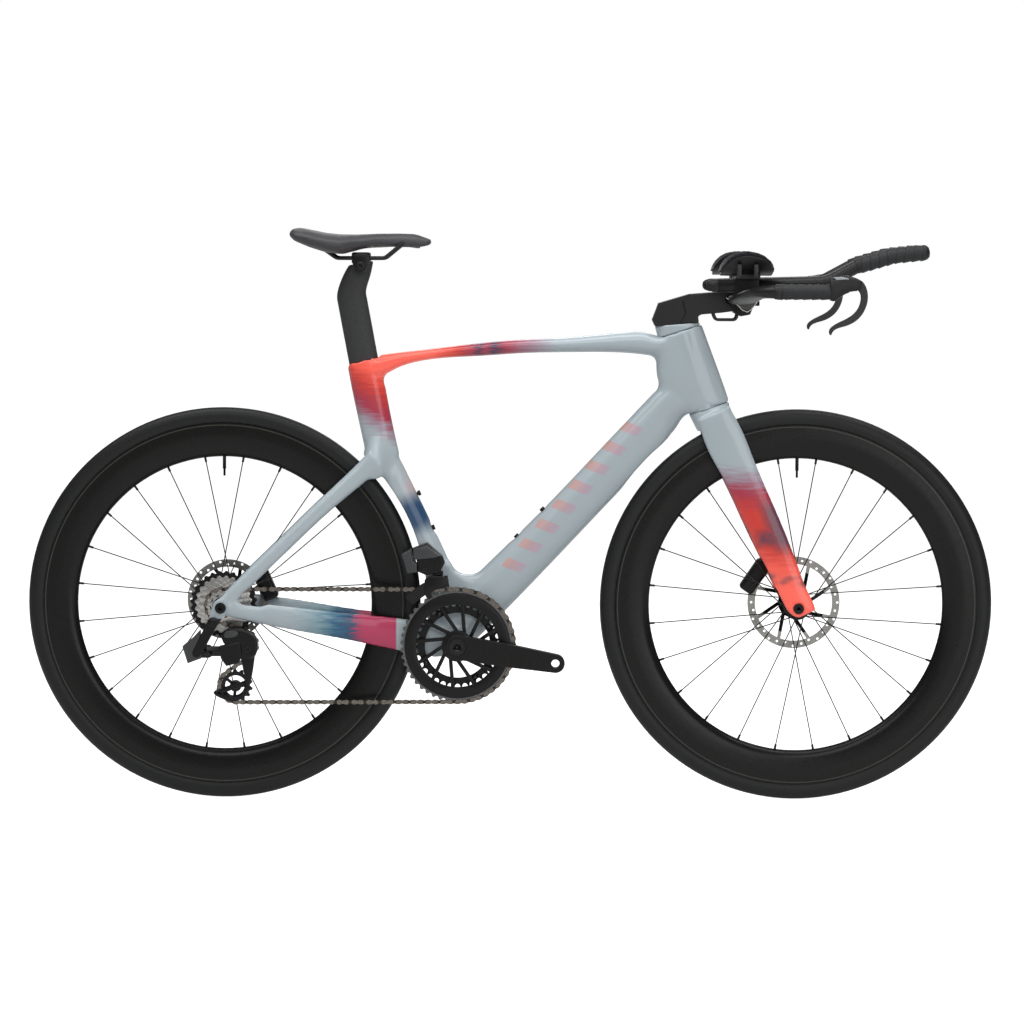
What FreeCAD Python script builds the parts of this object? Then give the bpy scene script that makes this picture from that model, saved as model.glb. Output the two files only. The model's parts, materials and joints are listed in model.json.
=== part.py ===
import FreeCAD, Part
import math
import os

# Time trial bike. Millimetres, +X forward, +Y to the rider's left, +Z up.
# The origin is on the ground, midway between the axles, on the centre plane.

# Overall geometry
WHEELBASE = 985.0
BB_DROP = 67.5
CHAINSTAY_LENGTH = 408.0
HEAD_ANGLE = 72.0
FORK_RAKE = 46.0
CROWN_HEIGHT = 371.0
HEAD_TUBE_LENGTH = 140.0
SEAT_ANGLE = 79.4
SEAT_SETBACK = 72.0
SEAT_TOP_RISE = 489.0

# Fits
OVERRUN = 5.0
SEAM_GAP = 0.5
SLIDE_CLEARANCE = 0.3
RUN_CLEARANCE = 0.05
FACE_GAP = 0.4
PIPE_VOLUME_SHARE = 0.02

# Rims and tyres
RIM_EDGE_R = 311.0
RIM_DEPTH = 58.0
RIM_WIDTH = 27.0
RIM_WALL = 2.2
RIM_HOOK = 4.0
RIM_HOOK_WALL = 2.6
TYRE_HEIGHT = 27.0
TYRE_WIDTH = 28.0
TYRE_WALL = 2.6
VALVE_R = 3.0
VALVE_LENGTH = 42.0
VALVE_TIP_R = 2.0
VALVE_TIP_LENGTH = 12.0
RIM_SIDE_SHARES = ((1.0, 0.1), (1.04, 0.28), (0.94, 0.62), (0.6, 0.9), (0.0, 1.0))
TYRE_SIDE_SHARES = ((0.97, 0.25), (1.0, 0.45), (0.86, 0.76), (0.5, 0.945), (0.0, 1.0))

# Spokes and hubs
SPOKE_COUNT = 24
SPOKE_R = 0.95
SPOKE_LAY_ANGLE = 45.0
SPOKE_FIRST_ANGLE = 7.5
SPOKE_SIDE_GAP = 0.9
NIPPLE_R = 2.0
NIPPLE_LENGTH = 13.0
AXLE_R = 6.0
HUB_BARREL_R = 13.0
HUB_CAP_R = 10.0
HUB_CAP_LENGTH = 6.0
FLANGE_R = 22.5
FLANGE_THICKNESS = 3.0
FLANGE_HOLES_R = 19.0
FRONT_HUB_WIDTH = 100.0
FRONT_FLANGE_LEFT = 20.0
FRONT_FLANGE_RIGHT = 34.0
REAR_HUB_WIDTH = 142.0
REAR_FLANGE_LEFT = 33.0
REAR_FLANGE_RIGHT = 15.5
AXLE_HEAD_R = 9.0
AXLE_HEAD_LENGTH = 4.0
AXLE_SOCKET_R = 3.0

# Brake rotors and calipers
FRONT_ROTOR_R = 80.0
REAR_ROTOR_R = 70.0
FRONT_ROTOR_INSET = 11.5
REAR_ROTOR_INSET = 15.3
ROTOR_THICKNESS = 1.8
ROTOR_TRACK = 13.0
ROTOR_SEAT_R = 17.0
ROTOR_CARRIER_R = 27.0
ROTOR_ARM_WIDTH = 6.0
ROTOR_ARM_COUNT = 8
ROTOR_ARM_SWEEP = 24.0
ROTOR_HOLE_R = 2.2
ROTOR_HOLE_COUNT = 32
ROTOR_LOCKRING_R = 21.0
ROTOR_LOCKRING_WIDTH = 4.0
CALIPER_LENGTH = 62.0
CALIPER_HEIGHT = 27.0
CALIPER_WIDTH = 27.0
CALIPER_ROUND = 6.0
CALIPER_SLOT = 6.4
PAD_THICKNESS = 1.9
PAD_LENGTH = 26.0
CALIPER_OVERLAP = 12.0
FRONT_CALIPER_ANGLE = 146.0
REAR_CALIPER_ANGLE = 24.0

# Frame tubes: along the tube, offset and depth as shares of the depth, width share
SECTION_POINTS = 16
SECTION_POWER = 2.5
ROUND_POWER = 2.0
DOWN_TUBE_DEPTH = 76.0
DOWN_TUBE_WIDTH = 50.0
DOWN_TUBE_RISE = 16.5
DOWN_TUBE_LEAD = 45.0
DOWN_TUBE_SHARES = (
    (-0.02, 0.0, 0.9, 1.2), (0.12, 0.03, 1.04, 1.2), (0.35, 0.0, 1.0, 1.08), (0.65, 0.0, 0.97, 0.98),
    (0.88, 0.0, 0.99, 0.96), (1.03, 0.0, 1.05, 0.94),
)
TOP_TUBE_DEPTH = 23.0
TOP_TUBE_WIDTH = 38.0
TOP_TUBE_SHARES = (
    (-0.04, -0.7, 1.8, 0.9), (0.05, -0.68, 1.75, 0.96), (0.1, -0.34, 1.2, 1.0), (0.17, -0.13, 0.86, 1.0),
    (0.36, -0.06, 0.97, 1.0), (0.5, -0.11, 1.03, 1.02), (0.65, -0.31, 1.12, 1.06),
    (0.8, -0.474, 1.475, 1.12), (0.88, -0.665, 1.77, 1.14), (0.97, -0.91, 2.08, 1.16),
)
HEAD_DEPTH = 100.0
HEAD_WIDTH = 50.0
HEAD_SHARES = (
    (0.0, 0.06, 0.73, 0.98), (0.2, -0.08, 1.0, 1.04), (0.7, -0.095, 0.97, 0.96), (1.0, -0.06, 0.86, 0.9),
)
HEAD_BOWL_R = 45.0
HEAD_BOWL_DEPTH = 24.0
SEAT_TUBE_DEPTH = 57.0
SEAT_TUBE_WIDTH = 38.0
SEAT_TUBE_RUN = 175.0
SEAT_TUBE_SHARES = (
    (0.0, 0.0, 1.0, 0.98), (0.35, 0.0, 1.0, 1.0), (0.7, 0.02, 0.98, 1.02), (1.0, 0.05, 1.0, 1.06),
)
LOWER_SEAT_DEPTH = 74.0
LOWER_SEAT_WIDTH = 40.0
LOWER_SEAT_SHARES = (
    (-0.06, -0.02, 0.78, 0.95), (0.06, 0.0, 0.8, 0.95), (0.26, 0.01, 0.9, 0.92), (0.5, 0.02, 1.0, 0.96),
    (0.8, 0.05, 1.0, 1.05), (1.0, 0.06, 0.9, 1.1),
)
BB_SHELL_R = 25.0
BB_SHELL_WIDTH = 86.5
BB_BEARING_R = 20.5
BB_GUSSET_WIDTH = 36.0
BB_GUSSET_REACH = 140.0
BB_GUSSET_SHARES = (
    (0.396, 0.996), (0.336, 0.929), (0.214, 0.847), (0.089, 0.834), (-0.036, 0.886), (-0.134, 1.057),
    (-0.28, 0.7), (0.3, 0.55),
)
WHEEL_GAP = 12.0
WHEEL_SIDE_GAP = 5.0
FRONT_WHEEL_GAP = 24.0
STAY_DEPTH = 44.0
STAY_WIDTH = 15.0
STAY_SPREAD = 75.5
CHAINSTAY_SHARES = (
    (0.0, 0.0, 1.3, 0.3, 1.5), (0.12, 0.0, 1.3, 0.352, 1.08), (0.26, 0.0, 1.25, 0.36, 1.08),
    (0.5, 0.0, 1.0, 0.57, 1.05), (0.72, 0.0, 0.88, 0.81, 0.9), (0.84, 0.0, 0.78, 0.895, 0.8),
    (1.0, 0.0, 0.66, 1.0, 0.62),
)
SEATSTAY_SHARES = (
    (-0.02, 0.05, 0.86, 0.35, 1.1), (0.12, 0.0, 0.72, 0.39, 1.0), (0.3, -0.06, 0.62, 0.5, 0.95),
    (0.6, -0.07, 0.58, 0.72, 0.88), (0.82, -0.06, 0.58, 0.885, 0.8), (1.0, 0.0, 0.6, 1.0, 0.62),
)
STAY_JOIN_RISE = 315.0
STAY_JOIN_BACK = 145.0
STAY_LUG_DEPTH = 54.0
STAY_LUG_WIDTH = 68.0
STAY_LUG_LENGTH = 80.0
STAY_LUG_START_SHARE = 0.4
STAY_LUG_SHARES = (
    (0.0, 0.0, 0.8, 0.86), (0.4, -0.04, 0.86, 1.0), (0.75, -0.17, 0.7, 0.76), (1.0, -0.28, 0.56, 0.5),
)
DROPOUT_R = 15.0
DROPOUT_THICKNESS = 9.0
STEERER_R = 14.3
CROWN_RACE_R = 20.0
CROWN_RACE_HEIGHT = 12.0
STEERER_TOP = 42.0
UPPER_BEARING_R = 20.5
LOWER_BEARING_R = 26.0
BEARING_HEIGHT = 8.0
BOLT_R = 2.6
BOLT_HEAD_R = 4.6
BOLT_HEAD_HEIGHT = 2.4
BOLT_DEPTH = 9.0
BOTTLE_SPACING = 64.0
DOWN_TUBE_BOLT_SHARE = 0.345
SEAT_TUBE_BOLT_SHARE = 0.415

# Fork: share down the leg, offset and depth shares, spread share, width share
FORK_DEPTH = 62.0
FORK_LEG_WIDTH = 17.0
FORK_SHARES = (
    (0.03, 0.12, 1.02, 0.42, 1.2), (0.1, 0.12, 1.04, 0.48, 1.06), (0.3, 0.11, 1.0, 0.6, 0.98),
    (0.6, 0.1, 0.92, 0.83, 0.86), (0.8, 0.08, 0.82, 0.935, 0.76), (0.95, 0.06, 0.75, 1.0, 0.7),
    (1.0, 0.08, 0.72, 1.0, 0.67), (1.04, 0.16, 0.5, 1.0, 0.64),
)
FORK_CROWN_R = 42.0
CROWN_GAP = 7.0
FORK_CROWN_HEIGHT = 34.0
FORK_CROWN_DEPTH = 72.0
FORK_CROWN_WIDTH = 66.0
FORK_CROWN_SHARES = ((0.0, 0.083, 1.0, 0.74), (0.5, 0.083, 0.93, 0.92), (1.0, 0.1, 0.88, 1.0))
FORK_WHEEL_GAP = 6.0
FORK_TIP_R = 15.0
FORK_TIP_WIDTH = 12.0

# Seatpost and saddle
POST_DEPTH = 51.0
POST_WIDTH = 26.0
POST_POWER = 2.3
POST_INSERTION = 98.0
POST_BORE_DEPTH = 136.0
POST_CUT_RISE = 45.0
POST_HEAD_RISE = 162.0
POST_HEAD_LEAD = 27.0
POST_HEAD_SHARES = (
    (0.64, 0.0, 1.0), (0.7, 0.03, 1.0), (0.81, 0.32, 1.02), (0.92, 0.69, 0.96), (1.0, 1.0, 0.84),
)
SADDLE_LENGTH = 242.0
SADDLE_WIDTH = 143.0
SADDLE_BACK = 289.0
SADDLE_TOP_RISE = 224.5
SADDLE_RISE = 16.0
SADDLE_COVER_DEPTH = 15.0
SADDLE_SHELL_DEPTH = 23.0
SADDLE_POWER = 2.8
SHELL_WIDTH_SHARE = 0.93
COVER_DEPTH_SHARES = ((0.0, 0.7), (0.12, 1.0), (0.9, 1.0), (1.0, 0.8))
SHELL_DEPTH_SHARES = (
    (0.0, 0.42), (0.12, 0.6), (0.28, 1.0), (0.36, 1.0), (0.5, 0.68), (0.78, 0.48), (1.0, 0.42),
)
RAIL_R = 3.5
RAIL_SPREAD = 22.0
RAIL_BEND_R = 14.0
RAIL_HEIGHT = 172.5
RAIL_RISE = 20.0
RAIL_SHARES = ((-0.27, 0.85), (-0.17, 0.0), (0.17, 0.0), (0.3, 1.3))
CLAMP_LENGTH = 31.0
CLAMP_HEIGHT = 20.0
CLAMP_WIDTH = 56.0
SADDLE_TOP_SHARES = ((0.0, 1.0), (0.1, 0.62), (0.3, 0.28), (0.55, 0.24), (0.82, 0.24), (0.97, 0.0))
SADDLE_PLAN_SHARES = (
    (0.0, 0.42), (0.03, 0.68), (0.12, 0.94), (0.22, 1.0), (0.36, 0.86), (0.52, 0.52), (0.68, 0.34),
    (0.84, 0.29), (0.95, 0.25), (1.0, 0.14),
)

# Crankset
CRANK_LENGTH = 170.0
CRANK_DROP_ANGLE = 9.3
CRANK_STANCE = 145.0
CRANK_THICKNESS = 14.0
CRANK_BOSS_R = 21.0
CRANK_END_R = 16.0
CRANK_MID_R = 20.0
CRANK_MID_SHARE = 0.5
PEDAL_THREAD_R = 7.14
SPINDLE_R = 14.5
CRANK_BOLT_SOCKET_R = 5.0
CHAIN_LINE = 47.6
RING_GAP = 7.6
RING_THICKNESS = 1.9
OUTER_TEETH = 48
INNER_TEETH = 35
OUTER_RING_DEPTH = 16.0
INNER_RING_DEPTH = 11.0
RING_ARM_COUNT = 12
RING_ARM_WIDTH = 6.0
RING_ARM_THICKNESS = 4.0
RING_HUB_R = 34.0
RING_BOLT_COUNT = 4
RING_BOLT_R = 4.0
RING_BOSS_R = 7.5
RING_COLLAR_R = 5.2
RING_BOLT_FIRST_ANGLE = 30.0
BB_CUP_R = 23.0
BB_CUP_WIDTH = 3.0
BB_CUP_DEPTH = 20.0

# Chain and sprockets
PITCH = 12.7
ROLLER_R = 3.85
ROLLER_CLEARANCE = 0.3
GULLET_ANGLE = 62.0
TOOTH_HEIGHT = 2.9
TOOTH_TIP = 1.6
PLATE_R = 4.1
PLATE_THICKNESS = 0.65
PLATE_GAP = 0.12
PIN_R = 1.6
ROLLER_HALF = 1.15
COG_TEETH = (10, 11, 12, 13, 14, 15, 16, 17, 19, 21, 24, 28)
CHAIN_COG = 4
COG_SPACING = 3.6
COG_THICKNESS = 1.6
COG_HUB_R = 15.3
FREEHUB_R = 12.5
LOCKRING_R = 13.5
LOCKRING_WIDTH = 3.0

# Rear derailleur
GUIDE_TEETH = 12
TENSION_TEETH = 14
PULLEY_THICKNESS = 2.0
PULLEY_BOLT_R = 3.0
HANGER_BACK = 12.5
HANGER_DROP = 24.0
HANGER_THICKNESS = 6.0
HANGER_TOP_R = 12.0
HANGER_END_R = 9.0
MECH_PIVOT_BACK = 23.5
MECH_PIVOT_DROP = 76.0
MECH_LINK_LENGTH = 56.0
MECH_SLANT = 45.0
MECH_PIVOT_OUT = 68.0
MECH_LINK_R = 7.5
MECH_LINK_WIDTH = 11.0
MECH_EAR = 3.5
MECH_REACH = 16.0
MECH_PIN_R = 3.0
MECH_KNUCKLE_R = 11.0
MECH_BODY_WIDTH = 12.0
GUIDE_BACK = 14.0
GUIDE_RISE = 9.0
CAGE_SPAN = 72.0
CAGE_PLATE = 1.8
CAGE_GAP = 9.4
CAGE_END_R = 13.0
CAGE_PIVOT_R = 7.0
CAGE_BACK_ANGLE = 95.3
CAGE_SEARCH = 0.35
BATTERY_LENGTH = 24.0
BATTERY_HEIGHT = 38.0
BATTERY_WIDTH = 22.0
BATTERY_ROUND = 3.0

# Front derailleur
FD_CAGE_R = 103.2
FD_CAGE_DEPTH = 19.0
FD_CAGE_START = 98.0
FD_CAGE_END = 137.0
FD_BRIDGE_END = 118.0
FD_TAIL_START = 132.0
FD_CAGE_HALF = 4.6
FD_PLATE = 1.2
FD_LINK_LENGTH = 22.0
FD_LINK_ANGLE = 9.2
FD_LINK_R = 5.0
FD_LINK_WIDTH = 12.0
FD_PIN_R = 2.0
FD_BODY_LENGTH = 40.0
FD_BODY_HEIGHT = 26.0
FD_BATTERY_LENGTH = 36.0
FD_BATTERY_HEIGHT = 30.0
FD_BATTERY_WIDTH = 24.0
FD_BODY_WIDTH = 40.0
FD_BACK = 34.0
FD_RISE = 124.0
FD_EAR = 3.0

# Stem and bars
STEM_WIDTH = 38.0
STEM_CLAMP_R = 18.5
STEM_CLAMP_HEIGHT = 46.0
STEM_LENGTH = 104.0
STEM_TOP = 68.0
STEM_SHARES = (
    (-0.027, 0.17), (0.29, 0.209), (0.276, 0.37), (0.33, 0.415), (0.656, 0.459), (1.0, 0.53), (1.0, 0.97),
    (0.75, 1.0), (0.141, 0.93), (0.012, 0.724), (0.06, 0.444),
)
STEM_COVER_SHARES = (
    (-0.43, 0.12), (-0.027, 0.17), (0.06, 0.444), (0.012, 0.724), (0.141, 0.93), (-0.369, 0.697),
    (-0.475, 0.269),
)
HEAD_COVER_BACK = 41.0
HEAD_COVER_FRONT = 36.0
HEAD_COVER_WIDTH = 44.0
BAR_FORWARD = 101.0
BAR_RISE = 54.0
GRIP_FORWARD = 149.0
GRIP_RISE = 69.0
GRIP_LENGTH = 96.0
BAR_WIDTH = 400.0
BAR_TUBE_R = 11.1
BAR_CHORD = 50.0
BAR_WING_THICKNESS = 20.0
BAR_SWEEP_SHARES = (
    (0.0, 0.0, 0.0, 1.0), (0.3, 0.03, 0.08, 1.0), (0.6, 0.2, 0.5, 0.85), (0.82, 0.46, 0.9, 0.6),
    (0.95, 0.75, 1.0, 0.2), (1.0, 1.0, 1.0, 0.0),
)
TAPE_THICKNESS = 1.8
TAPE_LENGTH = 86.0
LEVER_BODY_LENGTH = 52.0
LEVER_BODY_HEIGHT = 31.0
LEVER_BODY_WIDTH = 25.0
LEVER_BODY_SHARES = (
    (0.0, 0.19, 1.2, 1.0), (0.22, 0.2, 1.24, 1.02), (0.5, 0.4, 0.98, 0.9), (0.82, 0.42, 0.78, 0.8),
    (1.0, 0.42, 0.46, 0.6),
)
LEVER_PIVOT_BACK = 8.0
LEVER_PIVOT_RISE = 15.0
LEVER_WIDTH = 9.0
LEVER_DROP = 86.0
LEVER_REACH = 62.0
LEVER_PIN_R = 2.5
LEVER_SLOT_DEPTH = 27.0
LEVER_SLOT_BACK = 12.0
LEVER_OUTER_SHARES = (
    (-0.1, 0.06), (0.12, 0.05), (0.29, -0.17), (0.27, -0.42), (0.12, -0.63), (-0.28, -0.82),
    (-0.62, -0.93), (-0.66, -1.0),
)
LEVER_INNER_SHARES = (
    (-0.7, -0.99), (-0.7, -0.88), (-0.62, -0.82), (-0.26, -0.68), (0.0, -0.53), (0.1, -0.38), (0.1, -0.2),
    (-0.1, -0.1),
)
EXT_SPREAD = 55.0
EXT_BASE_RISE = 78.0
EXT_START_FORWARD = 33.0
EXT_R = 11.1
EXT_BEND_R = 60.0
EXT_SHARES = ((0.0, 0.0), (0.56, 0.09), (0.7, 0.59), (0.86, 0.9), (1.0, 1.0))
EXT_LENGTH = 376.0
EXT_RISE = 57.0
EXT_TAPE_THICKNESS = 3.0
EXT_CLAMP_LENGTH = 42.0
EXT_CLAMP_WIDTH = 30.0
EXT_CLAMP_HEIGHT = 32.0
EXT_CLAMP_SHARE = 0.2
REST_SPREAD = 108.0
REST_LENGTH = 104.0
REST_HEIGHT = 38.0
REST_R = 50.0
REST_WALL = 3.2
REST_PAD = 9.0
REST_PAD_MARGIN = 4.0
REST_BRACKET_HEIGHT = 6.0
REST_X_SHARE = 0.165
REST_ARCH_SHARES = (
    (0.0, 0.0), (0.02, 0.22), (0.12, 0.65), (0.33, 0.98), (0.7, 0.96), (0.9, 0.68), (1.0, 0.2),
    (0.98, 0.0),
)
HOSE_R = 2.5
HOSE_SPREAD = 12.0
HOSE_DROP = 12.0
HOSE_SINK = 6.0
HOSE_BEND_R = 7.0
HOSE_START_SHARE = 0.5

V = FreeCAD.Vector
X_DIR = V(1, 0, 0)
Y_DIR = V(0, 1, 0)
Z_DIR = V(0, 0, 1)
ZERO = V(0, 0, 0)

TYRE_R = RIM_EDGE_R + TYRE_HEIGHT
RIM_BED_R = RIM_EDGE_R - RIM_HOOK
RIM_INNER_R = RIM_EDGE_R - RIM_DEPTH
REAR_AXLE = V(-WHEELBASE / 2, 0, TYRE_R)
FRONT_AXLE = V(WHEELBASE / 2, 0, TYRE_R)
BB = REAR_AXLE + V(math.sqrt(CHAINSTAY_LENGTH ** 2 - BB_DROP ** 2), 0, -BB_DROP)
HEAD_RAD = math.radians(HEAD_ANGLE)
STEER_UP = V(-math.cos(HEAD_RAD), 0, math.sin(HEAD_RAD))
STEER_FORE = V(math.sin(HEAD_RAD), 0, math.cos(HEAD_RAD))
STEER_FOOT = FRONT_AXLE - STEER_FORE * FORK_RAKE
HEAD_LOW = STEER_FOOT + STEER_UP * CROWN_HEIGHT
HEAD_TOP = HEAD_LOW + STEER_UP * HEAD_TUBE_LENGTH
SEAT_RAD = math.radians(SEAT_ANGLE)
SEAT_UP = V(-math.cos(SEAT_RAD), 0, math.sin(SEAT_RAD))
SEAT_FORE = V(math.sin(SEAT_RAD), 0, math.cos(SEAT_RAD))
SEAT_FOOT = BB - X_DIR * SEAT_SETBACK
SEAT_TOP = SEAT_FOOT + SEAT_UP * (SEAT_TOP_RISE / math.sin(SEAT_RAD))
WHEEL_CUT_R = TYRE_R + WHEEL_GAP
WHEEL_CUT_HALF = TYRE_WIDTH / 2 + WHEEL_SIDE_GAP
DROPOUT_FACE = REAR_HUB_WIDTH / 2
SADDLE_TOP = SEAT_TOP.z + SADDLE_TOP_RISE
RAIL_Z = SEAT_TOP.z + RAIL_HEIGHT
BAR_CENTRE_X = HEAD_TOP.x + BAR_FORWARD
BAR_CENTRE_Z = HEAD_TOP.z + BAR_RISE
BAR_GRIP_START = HEAD_TOP.x + GRIP_FORWARD
BAR_Z = HEAD_TOP.z + GRIP_RISE
EXT_REAR_X = HEAD_TOP.x + EXT_START_FORWARD
EXT_Z = HEAD_TOP.z + EXT_BASE_RISE


def spline(points, closed=False):
    curve = Part.BSplineCurve()
    curve.interpolate(Points=points, PeriodicFlag=closed)
    return curve.toShape()


def line(start, end):
    return Part.LineSegment(start, end).toShape()


def polygon(points):
    return Part.makePolygon(points + [points[0]])


def prism(points, depth):
    """Flat outline in the XZ plane, drawn out by depth along Y and centred on its plane."""
    solid = Part.Face(polygon(points)).extrude(Y_DIR * depth)
    solid.translate(Y_DIR * (-depth / 2))
    return solid


def section(centre, along, across, depth, width, power=SECTION_POWER):
    """Closed superellipse outline: depth along one direction, width along the other."""
    points = []
    for i in range(SECTION_POINTS):
        angle = 2 * math.pi * i / SECTION_POINTS
        c = math.cos(angle)
        s = math.sin(angle)
        a = math.copysign(abs(c) ** (2 / power), c) * depth / 2
        b = math.copysign(abs(s) ** (2 / power), s) * width / 2
        points.append(centre + along * a + across * b)
    return Part.Wire([spline(points, True)])


def loft(sections):
    return Part.makeLoft(sections, True, False)


def tube(start, end, depth, width, shares):
    """Straight tube on the centre plane, with its sections square to its axis."""
    axis = end - start
    normal = Y_DIR.cross(axis).normalize() * -1
    rings = []
    for along, offset, deep, wide in shares:
        centre = start + axis * along + normal * (offset * depth)
        rings.append(section(centre, normal, Y_DIR, deep * depth, wide * width))
    return loft(rings)


def stay(start, end, depth, width, spread, side, shares):
    """One leg of a pair: its sections lie square to the axis and move out sideways by the spread."""
    axis = end - start
    normal = Y_DIR.cross(axis).normalize() * -1
    rings = []
    for along, offset, deep, out, wide in shares:
        centre = start + axis * along + normal * (offset * depth) + Y_DIR * (side * out * spread)
        rings.append(section(centre, normal, Y_DIR, deep * depth, wide * width))
    return loft(rings)


def rod(start, end, radius):
    axis = end - start
    return Part.makeCylinder(radius, axis.Length, start, axis)


def bar_y(centre, radius, low, high):
    """Round bar along Y between two sideways places."""
    return Part.makeCylinder(radius, high - low, V(centre.x, low, centre.z), Y_DIR)


def ring_y(centre, outer, inner, low, high):
    return bar_y(centre, outer, low, high).cut(bar_y(centre, inner, low - OVERRUN, high + OVERRUN))


def turned(steps, bore):
    """Solid of revolution about Y from steps of (low y, high y, radius), with a bore."""
    points = [V(bore, steps[0][0], 0)]
    for low, high, radius in steps:
        points.append(V(radius, low, 0))
        points.append(V(radius, high, 0))
    points.append(V(bore, steps[-1][1], 0))
    return Part.Face(polygon(points)).revolve(ZERO, Y_DIR, 360)


def polar(centre, radius, angle):
    return centre + V(radius * math.cos(angle), 0, radius * math.sin(angle))


def link_plate(first, first_r, second, second_r, low, high):
    """Plate with two round ends of their own radii, joined by tangents, between two sideways places."""
    first = V(first.x, low, first.z)
    second = V(second.x, low, second.z)
    axis = second - first
    lie = math.atan2(axis.z, axis.x)
    lean = math.acos((first_r - second_r) / math.hypot(axis.x, axis.z))
    a = polar(first, first_r, lie + lean)
    b = polar(second, second_r, lie + lean)
    c = polar(second, second_r, lie - lean)
    d = polar(first, first_r, lie - lean)
    edges = [
        line(a, b),
        Part.Arc(b, polar(second, second_r, lie), c).toShape(),
        line(c, d),
        Part.Arc(d, polar(first, first_r, lie + math.pi), a).toShape(),
    ]
    return Part.Face(Part.Wire(edges)).extrude(Y_DIR * (high - low))


def block(centre, length, width, height, corner):
    """Box centred on a point, with all its edges rounded."""
    box = Part.makeBox(length, width, height, centre - V(length / 2, width / 2, height / 2))
    return box.makeFillet(corner, box.Edges)


def bent_route(points, bend):
    """Straight runs through the points, joined by tangent arcs of one bend radius."""
    edges = []
    last = points[0]
    for before, corner, after in zip(points, points[1:], points[2:]):
        back = (before - corner).normalize()
        ahead = (after - corner).normalize()
        half = math.acos(max(-1.0, min(1.0, back.dot(ahead)))) / 2
        reach = bend / math.tan(half)
        start = corner + back * reach
        end = corner + ahead * reach
        inward = (back + ahead).normalize()
        middle = corner + inward * (bend / math.sin(half) - bend)
        edges.append(line(last, start))
        edges.append(Part.Arc(start, middle, end).toShape())
        last = end
    edges.append(line(last, points[-1]))
    return Part.Wire(edges)


def pipe(route, radius):
    """Round rod along a route; its volume is compared with section times length."""
    first = route.OrderedVertexes[0].Point
    edge = route.OrderedEdges[0]
    heading = edge.tangentAt(edge.FirstParameter)
    ring = Part.Wire([Part.Circle(first, heading, radius).toShape()])
    solid = route.makePipeShell([ring], True, False)
    expected = math.pi * radius ** 2 * route.Length
    if abs(solid.Volume - expected) > expected * PIPE_VOLUME_SHARE:
        raise ValueError("a bent rod lost its section")
    return solid


def mirror(shape):
    return shape.mirror(ZERO, Y_DIR)


def both_sides(shape):
    return Part.makeCompound([shape, mirror(shape)])


def fuse(shapes):
    return shapes[0].multiFuse(shapes[1:])


def one_solid(shape):
    return shape.Solids[0] if len(shape.Solids) == 1 else shape


def wheel_cut(half_width):
    return bar_y(REAR_AXLE, WHEEL_CUT_R, -half_width, half_width)


def post_section(station, extra=0.0):
    centre = SEAT_TOP + SEAT_UP * station
    return section(centre, SEAT_FORE, Y_DIR, POST_DEPTH + extra, POST_WIDTH + extra, POST_POWER)


def down_tube_ends():
    axis = (HEAD_LOW - BB).normalize()
    normal = Y_DIR.cross(axis) * -1
    return BB + normal * DOWN_TUBE_RISE, HEAD_LOW + normal * DOWN_TUBE_LEAD


def stay_join():
    return BB + V(-STAY_JOIN_BACK, 0, STAY_JOIN_RISE)


def bottle_bolt_places():
    """Centre and outward direction of each cage bolt: two on the down tube, two on the seat tube."""
    places = []
    low, high = down_tube_ends()
    axis = (high - low).normalize()
    normal = Y_DIR.cross(axis) * -1
    first = low + axis * ((high - low).Length * DOWN_TUBE_BOLT_SHARE) + normal * (DOWN_TUBE_DEPTH / 2)
    for step in range(2):
        places.append((first + axis * (BOTTLE_SPACING * step), normal))
    top = SEAT_TOP - SEAT_UP * SEAT_TUBE_RUN
    axis = BB - top
    normal = (Y_DIR.cross(axis) * -1).normalize()
    first = top + axis * SEAT_TUBE_BOLT_SHARE + normal * (LOWER_SEAT_DEPTH / 2)
    for step in range(2):
        places.append((first - axis.normalize() * (BOTTLE_SPACING * step), normal))
    return places


def bottle_bolts():
    bolts = []
    for place, out in bottle_bolt_places():
        head = rod(place - out * BOLT_HEAD_HEIGHT, place + out * BOLT_HEAD_HEIGHT, BOLT_HEAD_R)
        shank = rod(place - out * BOLT_DEPTH, place, BOLT_R)
        bolts.append(head.fuse(shank))
    return Part.makeCompound(bolts)


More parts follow.
